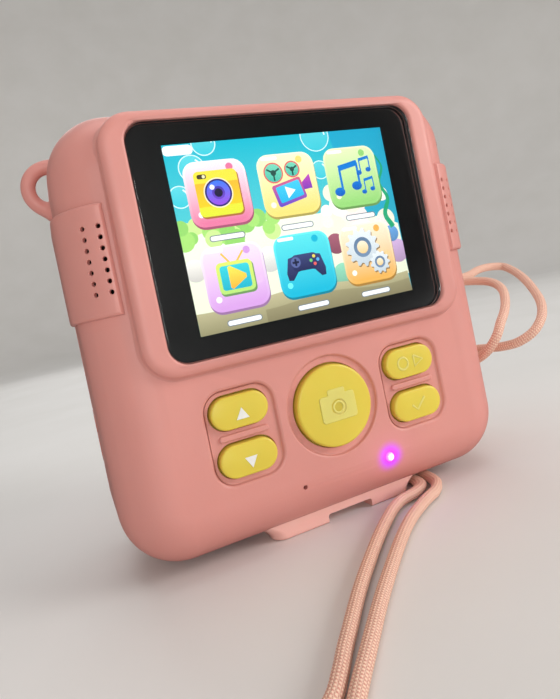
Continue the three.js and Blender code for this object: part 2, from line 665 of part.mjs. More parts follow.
function caseScrew({ x, z }) {
  const { head, headThick, shank, tip, seat, slotFloor, slotLong, slotShort } = SCREW;
  const headPart = rod(head, [x, seat + SNUG, z], [x, seat + headThick, z], 12);
  const shankPart = rod(shank, [x, tip, z], [x, seat + 1, z], 8);
  const slot = (halfX, halfZ) => block(x - halfX, x + halfX, seat + slotFloor, 20, z - halfZ, z + halfZ);
  return cut(join(headPart, shankPart), slot(slotLong, slotShort), slot(slotShort, slotLong));
}

// ---------------------------------------------------------------- paper door and printer
function paperDoor() {
  const reach = block(-DOOR.halfWidth, DOOR.halfWidth, DOOR.front, 40, DOOR.bottom, 110);
  const skin = hollow.intersect(reach);
  const notched = cut(skin, ...FIXED_EYES.map(hingeRoom));
  return cut(join(notched, ...DOOR_EYES.map(hingeEye)), hingeBore());
}

function hingePin() {
  return rod(HINGE.pin, [-HINGE.halfLength, HINGE.y, HINGE.z], [HINGE.halfLength, HINGE.y, HINGE.z], 12);
}

function tearBar() {
  const { halfLength, bottom, root, tip, teeth, thick } = TEAR_BAR;
  const pitch = 2 * halfLength / teeth;
  const edge = new THREE.Shape();
  edge.moveTo(-halfLength, bottom);
  edge.lineTo(halfLength, bottom);
  for (let t = 0; t < teeth; t += 1) {
    edge.lineTo(halfLength - t * pitch, root);
    edge.lineTo(halfLength - (t + 0.5) * pitch, tip);
  }
  edge.lineTo(-halfLength, root);
  return plate(edge, 0, 0, DOOR.front - SNUG - thick, DOOR.front - SNUG);
}

// A bar along X, from one place to another.
function barAlongX(radius, from, to, { y, z }, sides) {
  return rod(radius, [from, y, z], [to, y, z], sides);
}

function paperRoll() {
  const half = ROLL.width / 2;
  const bore = barAlongX(ROLL.core + SNUG, -40, 40, ROLL, 24);
  return barAlongX(ROLL.radius, -half, half, ROLL, 28).subtract(bore);
}

// The spool in the roll, with journals that turn in the cheeks.
function rollSpool() {
  const half = ROLL.width / 2;
  const reach = CHEEK.outer - ROLL.endGap;
  return join(barAlongX(ROLL.core, -half, half, ROLL, 24), barAlongX(ROLL.journal, -reach, reach, ROLL, 16));
}

function printerFrame() {
  const { inner, outer, front, back, bottom, top } = CHEEK;
  const cheek = block(inner, outer, front, back, bottom, top);
  const motorPlate = block(inner, outer, front, MOTOR_PLATE.back, MOTOR_PLATE.bottom, MOTOR_PLATE.top);
  const rail = block(-inner - 1, inner + 1, front, front + RAIL.thick, RAIL.bottom, RAIL.top);
  const { front: floorFront, back: floorBack, bottom: floorBottom, top: floorTop, legTop } = PRINTER_FLOOR;
  const floor = block(-outer, outer, floorFront, floorBack, floorBottom, floorTop);
  const leg = block(inner, outer, floorFront, floorBack, floorBottom, legTop);
  const posts = GEARS.slice(1, 3).map((wheel) => (
    barAlongX(GEAR_POST, inner + 0.5, GEAR_X.outer + 0.2, wheel, 12)));
  const motorBore = barAlongX(MOTOR_PLATE.bore, 20, 40, MOTOR, 16);
  const spoolBores = barAlongX(ROLL.journal + GAP, -40, 40, ROLL, 16);
  const shaftBores = barAlongX(PLATEN.shaft + GAP, -40, 40, PLATEN, 12);
  const outsideReach = caseForm(1).subtract(caseForm(-BODY.wall - GAP));
  return cut(join(cheek, mirrored(cheek), motorPlate, rail, floor, leg, mirrored(leg), ...posts),
    spoolBores, shaftBores, motorBore, outsideReach);
}

function platenRoller() {
  const { radius, halfLength, shaft, shaftEnd } = PLATEN;
  return join(barAlongX(radius, -halfLength, halfLength, PLATEN, 24),
    barAlongX(shaft, -shaftEnd, GEAR_X.outer, PLATEN, 12));
}

function printHead() {
  const face = PLATEN.y - PLATEN.radius - GAP;
  return block(-PLATEN.halfLength, PLATEN.halfLength, face - HEAD.thick, face, HEAD.bottom, HEAD.top);
}

// A bowed leaf spring behind the print head.
function headSpring() {
  const { half, thick, bow, bottom, height, stand } = SPRING;
  const headBack = PLATEN.y - PLATEN.radius - GAP - HEAD.thick;
  const low = headBack - stand - thick / 2 - SNUG / 2;
  const leaf = new THREE.Shape();
  leaf.moveTo(-half, low + thick / 2);
  leaf.lineTo(0, low + bow + thick / 2);
  leaf.lineTo(half, low + thick / 2);
  leaf.lineTo(half, low - thick / 2);
  leaf.lineTo(0, low + bow - thick / 2);
  leaf.lineTo(-half, low - thick / 2);
  const geometry = new THREE.ExtrudeGeometry(leaf, { depth: height, bevelEnabled: false });
  return solid(geometry.translate(0, 0, bottom));
}

// A spur gear; a bore of nothing leaves it solid.
function gear({ radius, y, z, teeth }, bore = 0) {
  const root = radius - Math.PI * radius / teeth * 0.7;
  const outline = new THREE.Shape();
  for (let t = 0; t < teeth * 4; t += 1) {
    const angle = (t + 0.5) / (teeth * 4) * Math.PI * 2;
    const reach = t % 4 < 2 ? radius : root;
    const point = [reach * Math.cos(angle), reach * Math.sin(angle)];
    if (t === 0) {
      outline.moveTo(...point);
    } else {
      outline.lineTo(...point);
    }
  }
  const depth = GEAR_X.outer - GEAR_X.inner;
  const geometry = new THREE.ExtrudeGeometry(outline, { depth, bevelEnabled: false });
  const wheel = solid(geometry.rotateY(Math.PI / 2).translate(GEAR_X.inner, y, z));
  return bore > 0 ? wheel.subtract(rod(bore, [0, y, z], [60, y, z], 12)) : wheel;
}

function motorPinion() {
  return join(gear(GEARS[3]), barAlongX(MOTOR.shaft, CHEEK.inner - SNUG, GEAR_X.inner + 0.5, MOTOR, 12));
}

function stepperMotor() {
  const end = CHEEK.inner - GAP;
  return barAlongX(MOTOR.radius, end - MOTOR.length, end, MOTOR, 24);
}

// ---------------------------------------------------------------- side port and card
function portCover() {
  const { y, z, width, height, flap, flapSink } = PORT;
  const face = -BODY.width / 2;
  const halfY = width / 2 - GAP;
  const halfZ = height / 2 - GAP;
  return block(face, face + flap - flapSink, y - halfY, y + halfY, z - halfZ, z + halfZ);
}

function usbSocket() {
  const { y, z, socketWidth, socketHeight } = PORT;
  const { from, to, mouth, wall } = SOCKET;
  const halfY = socketHeight / 2 - SNUG;
  const halfZ = socketWidth / 2 - SNUG;
  const bar = (x0, x1, inset) => (
    block(x0, x1, y - halfY + inset, y + halfY - inset, z - halfZ + inset, z + halfZ - inset));
  return bar(from, to, 0).subtract(bar(-50, mouth, wall));
}

function sideBoard() {
  const { from, to, front, back, bottom, top } = SIDE_BOARD;
  return block(from, to, front, back, bottom, top);
}

function cardSocket() {
  const { y, z, width, thick } = CARD;
  const { from, to, stop, front, back, margin } = CARD_SOCKET;
  const halfY = thick / 2 + GAP;
  const halfZ = width / 2;
  const box = block(from, to, y - front, y + back, z - halfZ - margin, z + halfZ + margin);
  return box.subtract(block(-50, stop, y - halfY, y + halfY, z - halfZ - GAP, z + halfZ + GAP));
}

function memoryCard() {
  const { y, z, from, width, thick, length } = CARD;
  return block(from, from + length, y - thick / 2, y + thick / 2, z - width / 2, z + width / 2);
}

// ---------------------------------------------------------------- lanyard
function curveThrough(points) {
  return new THREE.CatmullRomCurve3(points.map((point) => new THREE.Vector3(...point)), false, 'centripetal');
}

// One cord from the sleeve, out to the right, back and under the case beside the foot,
// forward over the table, round the end of the lanyard and back the same way.
const OUTER_RUN = [
  [42.6, 27.6, 57.6], [50, 23, 52], [58, 17, 48], [66, 11.2, 44.5], [74.7, 11, 45.9], [81, 9.5, 45.4],
  [79.6, 2.5, 42.7], [73.5, -8.1, 37.7], [68.1, -14.7, 33.3], [63.1, -17.1, 29.6], [59.4, -15.7, 26.8],
  [57, -10, 25.2], [56.5, -2, 24.6], [55.5, 8, 23], [52, 17, 18.5], [46, 24.5, 11.5], [37, 28, 5],
  [28.6, 26.5, 1.7], [25, 20, 1.05], [24.3, 10, 1], [24.3, -6, 1], [23.9, -14, 1.1], [20.8, -20.4, 1.35],
  [13.8, -24.6, 1.4], [6, -30, 1.4], [-9.3, -44.8, 1.4], [-19, -55.4, 1.4], [-25.8, -63.2, 1.4],
];
const LANYARD_END = [
  [-30.2, -69.2, 1.4], [-35.6, -73.8, 1.4], [-40.4, -72.2, 1.4], [-39, -67, 1.4], [-33.4, -64.4, 1.4],
];
const INNER_RUN = [
  [-28.2, -61.4, 1.4], [-21.6, -53.4, 1.4], [-11.6, -41.4, 1.4], [3.2, -26.2, 1.4], [10.6, -20.4, 1.4],
  [17.2, -18.3, 1.35], [20.2, -14.6, 1.15], [20.7, -6, 1], [20.7, 10, 1], [21.2, 20, 1.05],
  [26, 30.4, 2.2], [34.6, 33, 6.5], [43, 31, 12], [49.5, 23, 16.5], [52.5, 12, 19.5], [51.3, 0, 21.5],
  [50, -9, 24], [51, -13.5, 27.6], [54.2, -13.4, 31.6], [59.6, -10.8, 35.4], [64.1, -6.5, 39.5],
  [66.4, 0, 42], [64.5, 6, 43.2], [59, 12.5, 44.3], [52, 19, 48], [45, 24.5, 53], [38.6, 27.9, 57.6],
];

// The soft cord flattens where it lies between the case and the table.
function underCase(point) {
  const fromFront = THREE.MathUtils.smoothstep(point.y, -20, -15);
  const fromBack = 1 - THREE.MathUtils.smoothstep(point.y, 20, 25);
  const onTable = 1 - THREE.MathUtils.smoothstep(point.z, 1.8, 3.5);
  return 1 - CORD.flatten * fromFront * fromBack * onTable;
}

function lanyardCord() {
  const course = curveThrough([...OUTER_RUN, ...LANYARD_END, ...INNER_RUN]);
  return tube(course, CORD.radius, CORD.sides, CORD.steps, underCase);
}

function cordSleeve() {
  return rod(SLEEVE.radius, SLEEVE.from, SLEEVE.to, 16, SLEEVE.endRadius);
}

function threadLoop() {
  const course = curveThrough([
    [39.6, 27, 66.6], [42.5, 24.5, 69], [45.4, 19, 73.6], [46.5, 11, 80.4], [46.2, 5, 83.5],
    [46.7, 1.4, 83.8], [50.5, -1.4, 84], [55, -1.6, 83.8], [56.6, 0.6, 81], [53.6, 6, 75.8],
    [49.6, 15, 71.6], [45, 24, 69], [41.1, 28.1, 66.7],
  ]);
  return tube(course, THREAD.radius, THREAD.sides, THREAD.steps);
}

// ---------------------------------------------------------------- assembly
const camera = new THREE.Group();

function add(name, shape, material) {
  const mesh = new THREE.Mesh(toGeometry(shape), material);
  mesh.name = name;
  camera.add(mesh);
}

add('screen_side_shell', screenSideShell(), PINK);
add('lens_side_shell', lensSideShell(), PINK);
add('screen_bezel', screenBezel(), PINK);
add('screen_window', screenWindow(), BLACK_GLASS);
add('lcd_panel', lcdPanel(), DARK);
add('lcd_holder', lcdHolder(), NYLON);
add('lcd_ribbon', lcdRibbon(), FLEX);
add('right_speaker_grip', speakerGrip(), PINK);
add('left_speaker_grip', mirrored(speakerGrip()), PINK);
add('base_foot', baseFoot(), PALE_PINK);
PAD_BUTTONS.forEach((pad) => add(`${pad.name}_button`, padButton(pad), YELLOW));
add('shutter_button', shutterButton(), YELLOW);
add('power_button', powerButton(), YELLOW);
[...PAD_BUTTONS, { name: 'shutter', ...SHUTTER }].forEach(({ name, x, z }) => {
  add(`${name}_switch`, tactSwitch(x, z), METAL);
});
add('power_switch', powerSwitch(), DARK);
add('main_board', mainBoard(), GREEN_BOARD);
add('battery', battery(), SILVER_WRAP);
add('right_speaker', speaker(), DARK);
add('left_speaker', mirrored(speaker()), DARK);
add('microphone', micCapsule(), METAL);
add('status_led', statusLed(), CLEAR);
add('lens_barrel', lensBarrel(), DARK);
add('lens_ring', lensRing(), METAL);
add('lens_cover_glass', lensCover(), BLACK_GLASS);
add('imaging_lens', imagingLens(), BLACK_GLASS);
add('sensor_board', sensorBoard(), GREEN_BOARD);
add('flash_window', flashWindow(), CLEAR);
screwPlaces().forEach((place, i) => add(`case_screw_${i + 1}`, caseScrew(place), METAL));
add('paper_door', paperDoor(), PINK);
add('door_hinge_pin', hingePin(), METAL);
add('tear_bar', tearBar(), METAL);
add('paper_roll', paperRoll(), PAPER);
add('roll_spool', rollSpool(), NYLON);
add('printer_frame', printerFrame(), DARK);
add('platen_roller', platenRoller(), RUBBER);
add('platen_gear', gear(GEARS[0], PLATEN.shaft + SNUG), NYLON);
add('upper_idler_gear', gear(GEARS[1], GEAR_POST + 0.2), NYLON);
add('lower_idler_gear', gear(GEARS[2], GEAR_POST + 0.2), NYLON);
add('motor_pinion', motorPinion(), METAL);
add('stepper_motor', stepperMotor(), METAL);
add('print_head', printHead(), METAL);
add('head_spring', headSpring(), METAL);
add('port_cover', portCover(), RUBBER);
add('usb_socket', usbSocket(), METAL);
add('side_board', sideBoard(), GREEN_BOARD);
add('card_socket', cardSocket(), METAL);
add('memory_card', memoryCard(), DARK);
add('lanyard_cord', lanyardCord(), CORD_PINK);
add('cord_sleeve', cordSleeve(), RUBBER);
add('thread_loop', threadLoop(), DARK);

export default camera;
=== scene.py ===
"""Looks for a children's instant-print camera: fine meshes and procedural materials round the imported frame.

Modelling is in millimetres, and settle() scales each finished mesh to metres.
X runs to the right of the screen, Y from the screen side to the lens side, Z up.
"""
import json
import math
import random

import bmesh
import bpy
from mathutils import Matrix, Vector


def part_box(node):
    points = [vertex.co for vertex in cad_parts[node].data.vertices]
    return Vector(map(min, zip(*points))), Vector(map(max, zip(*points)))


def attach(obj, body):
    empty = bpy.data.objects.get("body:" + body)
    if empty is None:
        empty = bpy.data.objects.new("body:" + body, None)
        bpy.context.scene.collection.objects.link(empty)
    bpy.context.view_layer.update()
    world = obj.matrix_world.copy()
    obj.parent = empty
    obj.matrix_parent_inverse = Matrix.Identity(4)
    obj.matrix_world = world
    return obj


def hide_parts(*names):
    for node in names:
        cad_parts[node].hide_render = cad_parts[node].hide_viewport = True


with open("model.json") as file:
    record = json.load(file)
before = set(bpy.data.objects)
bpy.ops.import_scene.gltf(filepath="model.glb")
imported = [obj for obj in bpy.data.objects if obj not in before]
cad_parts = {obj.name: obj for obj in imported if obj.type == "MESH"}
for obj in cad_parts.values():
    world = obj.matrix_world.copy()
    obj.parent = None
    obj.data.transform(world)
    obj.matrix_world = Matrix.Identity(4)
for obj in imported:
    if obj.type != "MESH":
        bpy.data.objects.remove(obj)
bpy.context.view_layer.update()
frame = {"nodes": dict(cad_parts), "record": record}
random.seed(7)
MM = 0.001


# ---------------------------------------------------------------- places, from the frame
def box_mm(node):
    """Lowest and highest corner of a CAD node, in millimetres."""
    low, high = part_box(node)
    return low / MM, high / MM


def middle_mm(node):
    low, high = box_mm(node)
    return (low + high) / 2


def mount_mm(name):
    found = next(m for m in frame["record"]["mounts"] if m["name"] == name)
    return Vector(found["pos_m"]) / MM


CASE_LOW, CASE_HIGH = box_mm("screen_side_shell")
HALF_WIDTH = CASE_HIGH.x
HALF_HEIGHT = (CASE_HIGH.z - CASE_LOW.z) / 2
MIDDLE_Z = (CASE_HIGH.z + CASE_LOW.z) / 2
FRONT = CASE_LOW.y                     # the flat face round the keys
BACK = mount_mm("back_rest").y         # the flat face round the lens
CORNER = 12.5                          # outline corner radius
EDGE = 11                              # roll from the outline into the faces
WALL = 1.8
SPLIT = 1                              # depth of the parting line
SEAM = 0.1
GAP = 0.3                              # room round moving pieces

GLASS_LOW, GLASS_HIGH = box_mm("screen_window")
SCREEN = (GLASS_LOW + GLASS_HIGH) / 2
VIEW = (49.3, 36.9)                    # lit picture, width and height
LCD_ROOM = (27, 20.5)                  # half size of the opening behind the glass

KEYS = ["up_button", "down_button", "mode_button", "ok_button"]
KEY_FLANGE = 0.9
SHUTTER = middle_mm("shutter_button")
SHUTTER_RADIUS = 8.6
GROOVE_RADIUS = 10.4
LED = middle_mm("status_led")
MIC = middle_mm("microphone")
POWER = middle_mm("power_button")
POWER_RADIUS = 3
LENS = middle_mm("lens_ring")
LENS_FRONT = box_mm("lens_ring")[1].y
LENS_RADIUS = (box_mm("lens_ring")[1].x - box_mm("lens_ring")[0].x) / 2
FLASH = middle_mm("flash_window")
SCREWS = [middle_mm(f"case_screw_{i}") for i in range(1, 5)]
HINGE = middle_mm("door_hinge_pin")
DOOR_LOW, DOOR_HIGH = box_mm("paper_door")
PORT_LOW, PORT_HIGH = box_mm("port_cover")
CARD = middle_mm("memory_card")
FIXED_EYES = [(-27, -21), (-3, 3), (21, 27)]
DOOR_EYES = [(-20.6, -3.4), (3.4, 20.6)]
DOORWAY_FRONT = DOOR_LOW.y - 3         # the opening starts this far in front of the door
DOORWAY_SILL = DOOR_LOW.z + 1.6
DOOR_EDGE = DOOR_LOW.z + 1.9           # the door's lower edge on the back, a gap above the sill
BEYOND = 40                            # past the case's back, for cutters
ABOVE = 110                            # past the case's top, for cutters

# depths along Y that the screen side's pieces share
PANEL_FLOOR = FRONT + 0.6              # floor of the recess round a pair of keys
GROOVE_FLOOR = FRONT + 0.8             # floor of the groove round the shutter key
KEY_BACK = -17.4                       # back of the keys' flanges
KEY_FLANGE_FRONT = -18.2
SHELL_INSIDE = -14                     # past the wall, for cutters from the screen side


# ---------------------------------------------------------------- mesh helpers
def make_object(name, verts, faces):
    mesh = bpy.data.meshes.new(name)
    mesh.from_pydata([tuple(v) for v in verts], [], faces)
    mesh.validate()
    mesh.update()
    made = bpy.data.objects.new(name, mesh)
    bpy.context.scene.collection.objects.link(made)
    return made


def face_outward(obj):
    work = bmesh.new()
    work.from_mesh(obj.data)
    bmesh.ops.recalc_face_normals(work, faces=work.faces)
    if work.calc_volume(signed=True) < 0:
        bmesh.ops.reverse_faces(work, faces=work.faces)
    work.to_mesh(obj.data)
    work.free()
    return obj


def loft(name, rings, capped=True):
    """A skin through rings of equal length; both ends are capped, or else the last ring joins the first."""
    around = len(rings[0])
    faces = []
    for r in range(len(rings) - 1 if capped else len(rings)):
        here = r * around
        there = (r + 1) % len(rings) * around
        faces += [(here + i, here + (i + 1) % around, there + (i + 1) % around, there + i)
                  for i in range(around)]
    if capped:
        last = (len(rings) - 1) * around
        faces += [tuple(reversed(range(around))), tuple(range(last, last + around))]
    return face_outward(make_object(name, [p for ring in rings for p in ring], faces))


def angles(steps, start=0, end=90):
    """Evenly spaced angles in radians, both ends included."""
    return [math.radians(start + (end - start) * i / steps) for i in range(steps + 1)]


def quarter_round(radius, steps=4, start=0, end=90):
    """(depth, inset) round a quarter circle: full depth and no inset at 0 degrees, the reverse at 90."""
    return [(radius * (1 - math.sin(a)), radius * (1 - math.cos(a))) for a in angles(steps, start, end)]


def ring_xz(y, half_w, half_h, radius, centre, steps=12):
    """A rounded rectangle at depth y round the centre (x, z)."""
    radius = max(0.01, min(radius, half_w - 0.005, half_h - 0.005))
    points = []
    for quarter in range(4):
        side_x = 1 if quarter in (0, 3) else -1
        side_z = 1 if quarter < 2 else -1
        for turn in angles(steps, quarter * 90, quarter * 90 + 90):
            x = side_x * (half_w - radius) + radius * math.cos(turn)
            z = side_z * (half_h - radius) + radius * math.sin(turn)
            points.append((centre[0] + x, y, centre[1] + z))
    return points


def slab(name, half_w, half_h, radius, centre, profile, steps=12):
    """A rounded slab. The profile lists (depth y, inset) from one face to the other."""
    return loft(name, [ring_xz(y, half_w - i, half_h - i, radius - i, centre, steps) for y, i in profile])


def block(name, low, high):
    """A plain cutter or filler between two corners."""
    verts = [(x, y, z) for x in (low[0], high[0]) for y in (low[1], high[1]) for z in (low[2], high[2])]
    faces = [(0, 1, 3, 2), (4, 6, 7, 5), (0, 4, 5, 1), (2, 3, 7, 6), (0, 2, 6, 4), (1, 5, 7, 3)]
    return face_outward(make_object(name, verts, faces))


def lathe(name, profile, centre, segments=72):
    """Turns (radius, y) points about an axis along Y through (x, z). Radius 0 closes an end."""
    verts, rows, faces = [], [], []
    for radius, y in profile:
        count = segments if radius > 1e-6 else 1
        rows.append([len(verts) + s for s in range(count)])
        for s in range(count):
            turn = 2 * math.pi * s / segments
            verts.append((centre[0] + radius * math.cos(turn), y, centre[1] + radius * math.sin(turn)))
    if profile[0][0] > 1e-6:
        rows.append(rows[0])
    for a, b in zip(rows, rows[1:]):
        for s in range(segments):
            t = (s + 1) % segments
            corners = [a[s % len(a)], a[t % len(a)], b[t % len(b)], b[s % len(b)]]
            faces.append(tuple(dict.fromkeys(corners)))
    return face_outward(make_object(name, verts, [f for f in faces if len(f) > 2]))


def rod(name, radius, start, end, segments=40, chamfer=0.0, end_radius=None):
    """A round bar, its rims eased by the chamfer."""
    start, end = Vector(start), Vector(end)
    way = (end - start).normalized()
    turn = way.to_track_quat("Z", "Y")
    other = radius if end_radius is None else end_radius
    stations = [(start, radius), (end, other)]
    if chamfer:
        stations = [(start, radius - chamfer), (start + way * chamfer, radius),
                    (end - way * chamfer, other), (end, other - chamfer)]
    rings = []
    for centre, size in stations:
        spokes = [Vector((size * math.cos(a), size * math.sin(a), 0)) for a in angles(segments, 0, 360)[:-1]]
        rings.append([centre + turn @ spoke for spoke in spokes])
    return loft(name, rings)


def prism(name, outline, y_front, y_back, ease=0.0):
    """A flat outline of (x, z) points given depth, its front rim eased inward."""
    middle = [sum(p[k] for p in outline) / len(outline) for k in (0, 1)]

    def ring(y, inset):
        points = []
        for x, z in outline:
            reach = max(math.hypot(x - middle[0], z - middle[1]), 1e-6)
            share = 1 - inset / reach
            points.append((middle[0] + (x - middle[0]) * share, y, middle[1] + (z - middle[1]) * share))
        return points

    return loft(name, [ring(y_back, 0), ring(y_front + ease, 0), ring(y_front, ease)])


def bake(obj):
    """Applies the object's modifiers to its mesh."""
    bpy.context.view_layer.update()
    graph = bpy.context.evaluated_depsgraph_get()
    mesh = bpy.data.meshes.new_from_object(obj.evaluated_get(graph))
    obj.modifiers.clear()
    obj.data = mesh
    return obj


def combine(obj, others, operation="DIFFERENCE"):
    """Cuts obj by the others, or joins or intersects them; the others are used up."""
    for other in others:
        step = obj.modifiers.new("combine", "BOOLEAN")
        step.operation = operation
        step.solver = "EXACT"
        step.object = other
    bake(obj)
    for other in others:
        bpy.data.objects.remove(other, do_unlink=True)
    return obj


def merge(obj, others):
    """Puts the meshes of the others into obj, keeping each one's material."""
    work = bmesh.new()
    work.from_mesh(obj.data)
    for other in others:
        first = len(obj.data.materials)
        for material in other.data.materials:
            obj.data.materials.append(material)
        before = len(work.faces)
        work.from_mesh(other.data)
        work.faces.ensure_lookup_table()
        for face in work.faces[before:]:
            face.material_index += first
        bpy.data.objects.remove(other, do_unlink=True)
    work.to_mesh(obj.data)
    work.free()
    return obj


def soften(obj, width, segments=3, angle=40, chosen=None):
    """Rounds sharp edges: all of them, or those whose middle point is chosen."""
    step = obj.modifiers.new("soften", "BEVEL")
    step.width = width
    step.segments = segments
    step.use_clamp_overlap = True
    if chosen is None:
        step.limit_method = "ANGLE"
        step.angle_limit = math.radians(angle)
        return bake(obj)
    step.limit_method = "WEIGHT"
    work = bmesh.new()
    work.from_mesh(obj.data)
    weight = work.edges.layers.float.new("bevel_weight_edge")
    for edge in work.edges:
        sharp = len(edge.link_faces) == 2 and edge.calc_face_angle(0) > math.radians(angle)
        if sharp and chosen((edge.verts[0].co + edge.verts[1].co) / 2):
            edge[weight] = 1
    work.to_mesh(obj.data)
    work.free()
    return bake(obj)


def paint(obj, material):
    obj.data.materials.clear()
    obj.data.materials.append(material)
    return obj


def face_side(obj, side):
    """Turns a piece that looks out along -Y so that it looks out to the right (1) or the left (-1)."""
    obj.data.transform(Matrix.Rotation(side * math.pi / 2, 4, "Z"))
    return obj


def settle(obj, name, body="root", stands_for=(), crease=34):
    """Last step for a piece: metres, smooth shading with true creases, name and body; it hides the imported
    parts that it stands for.
    """
    obj.name = name
    obj.data.transform(Matrix.Scale(MM, 4))
    obj.data.polygons.foreach_set("use_smooth", [True] * len(obj.data.polygons))
    obj.data.set_sharp_from_angle(angle=math.radians(crease))
    step = obj.modifiers.new("normals", "WEIGHTED_NORMAL")
    step.keep_sharp = True
    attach(obj, body)
    if stands_for:
        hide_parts(*stands_for)
    return obj


# ---------------------------------------------------------------- materials
def linear(red, green, blue, alpha=1.0):
    """A colour given as screen values from 0 to 255, as linear light."""
    def one(value):
        share = value / 255
        return share / 12.92 if share <= 0.04045 else ((share + 0.055) / 1.055) ** 2.4
    return (one(red), one(green), one(blue), alpha)


def node(tree, kind, inputs=None, **settings):
    made = tree.nodes.new("ShaderNode" + kind)
    for key, value in settings.items():
        setattr(made, key, value)
    for key, value in (inputs or {}).items():
        if isinstance(value, bpy.types.NodeSocket):
            tree.links.new(value, made.inputs[key])
        else:
            made.inputs[key].default_value = value
    return made


def start_material(name):
    material = bpy.data.materials.new(name)
    material.use_nodes = True
    tree = material.node_tree
    shader = tree.nodes["Principled BSDF"]
    place = node(tree, "TexCoord").outputs["Object"]
    return material, tree, shader, place


def set_inputs(tree, shader, values):
    for key, value in values.items():
        if isinstance(value, bpy.types.NodeSocket):
            tree.links.new(value, shader.inputs[key])
        else:
            shader.inputs[key].default_value = value


def noise(tree, place, scale, detail=2.0):
    return node(tree, "TexNoise", {"Vector": place, "Scale": scale, "Detail": detail}).outputs["Fac"]


def span(tree, value, low, high, from_low=0.3, from_high=0.7):
    """Maps a value onto another range."""
    return node(tree, "MapRange", {"Value": value, "From Min": from_low, "From Max": from_high,
                                   "To Min": low, "To Max": high}).outputs["Result"]


def mix(tree, share, first, second, blend="MIX"):
    made = node(tree, "Mix", {"Factor": share}, data_type="RGBA", blend_type=blend)
    for socket, value in ((made.inputs[6], first), (made.inputs[7], second)):
        if isinstance(value, bpy.types.NodeSocket):
            tree.links.new(value, socket)
        else:
            socket.default_value = value
    return made.outputs[2]


def bump(tree, height, depth, strength=1.0, normal=None):
    inputs = {"Height": height, "Distance": depth, "Strength": strength}
    if normal is not None:
        inputs["Normal"] = normal
    return node(tree, "Bump", inputs).outputs["Normal"]


def tone(colour, share):
    return tuple(min(1.0, c * share) for c in colour[:3]) + (1.0,)


def moulded(name, colour, rough=0.42, grain=0.5, soft=0.12, wear=0.25):
    """Moulded plastic: fine spark grain, uneven sheen, rubbed edges and a little depth of colour."""
    material, tree, shader, place = start_material(name)
    cloud = span(tree, noise(tree, place, 30.0), 0.0, 1.0)
    base = mix(tree, cloud, tone(colour, 0.96), tone(colour, 1.04))
    bend = node(tree, "NewGeometry").outputs["Pointiness"]
    rubbed = span(tree, bend, 0.0, wear, 0.52, 0.6)
    base = mix(tree, rubbed, base, tone(colour, 1.25))
    smears = noise(tree, place, 160.0, 4.0)
    gloss = span(tree, smears, rough - 0.04, rough + 0.06)
    spark = noise(tree, place, 2600.0, 2.0)
    ripple = noise(tree, place, 90.0, 1.0)
    normal = bump(tree, ripple, 0.00012, 0.25)
    normal = bump(tree, spark, 0.00002, grain, normal)
    set_inputs(tree, shader, {
        "Base Color": base, "Roughness": gloss, "Normal": normal, "IOR": 1.5,
        "Subsurface Weight": soft, "Subsurface Radius": (1.0, 0.45, 0.3), "Subsurface Scale": 0.0018,
    })
    return material


GLOW_REACH = 4.3                       # how far the status light shows through the plastic round it


def lit_shell(name, colour):
    """The case plastic, with the status light's violet scattered through it round the light."""
    material = moulded(name, colour)
    tree = material.node_tree
    shader = tree.nodes["Principled BSDF"]
    place = node(tree, "TexCoord").outputs["Object"]
    light = (LED.x * MM, FRONT * MM, LED.z * MM)
    away = node(tree, "VectorMath", {0: place, 1: light}, operation="DISTANCE").outputs["Value"]
    near = node(tree, "MapRange", {"Value": away, "From Min": 0.0006, "From Max": GLOW_REACH * MM,
                                   "To Min": 1.0, "To Max": 0.0},
                                   interpolation_type="SMOOTHERSTEP").outputs["Result"]
    base = shader.inputs["Base Color"].links[0].from_socket
    # Painted light: near the status light the base colour is painted violet and the plastic gives off a
    # painted glow, standing in for the light scattered through it.
    painted_glow_base = mix(tree, near, base, linear(150, 40, 190))
    strength = node(tree, "Math", {0: near, 1: 0.6}, operation="MULTIPLY").outputs["Value"]
    set_inputs(tree, shader, {"Base Color": painted_glow_base, "Emission Color": linear(226, 84, 255),
                              "Emission Strength": strength})
    return material


def metal(name, colour, rough, scratch=0.5, stretch=(1, 1, 40)):
    """Turned or drawn metal with fine streaks along one direction."""
    material, tree, shader, place = start_material(name)
    squeezed = node(tree, "Mapping", {"Vector": place, "Scale": stretch}).outputs["Vector"]
    streaks = noise(tree, squeezed, 400.0, 3.0)
    set_inputs(tree, shader, {
        "Base Color": mix(tree, span(tree, streaks, 0, 1), tone(colour, 0.85), tone(colour, 1.05)),
        "Metallic": 1.0, "Roughness": span(tree, streaks, rough, rough + 0.12),
        "Normal": bump(tree, streaks, 0.00001, scratch),
    })
    return material


def rubber(name, colour, rough=0.75):
    """Soft matt rubber with a powdery bloom."""
    material, tree, shader, place = start_material(name)
    dust = noise(tree, place, 2800.0, 3.0)
    cloud = noise(tree, place, 120.0, 2.0)
    set_inputs(tree, shader, {
        "Base Color": mix(tree, span(tree, cloud, 0, 1), tone(colour, 0.95), tone(colour, 1.05)),
        "Roughness": span(tree, dust, rough - 0.1, rough + 0.1), "Sheen Weight": 0.25, "Sheen Roughness": 0.4,
        "Normal": bump(tree, dust, 0.00002, 0.4),
    })
    return material


def circuit(name, colour):
    """Solder mask over copper tracks, from a stepped pattern."""
    material, tree, shader, place = start_material(name)
    cells = node(tree, "TexVoronoi", {"Vector": place, "Scale": 420.0},
                 distance="MANHATTAN").outputs["Distance"]
    tracks = span(tree, cells, 0, 1, 0.42, 0.5)
    set_inputs(tree, shader, {
        "Base Color": mix(tree, tracks, colour, tone(colour, 1.9)), "Roughness": 0.35, "Coat Weight": 0.4,
        "Normal": bump(tree, tracks, 0.00004, 0.5),
    })
    return material


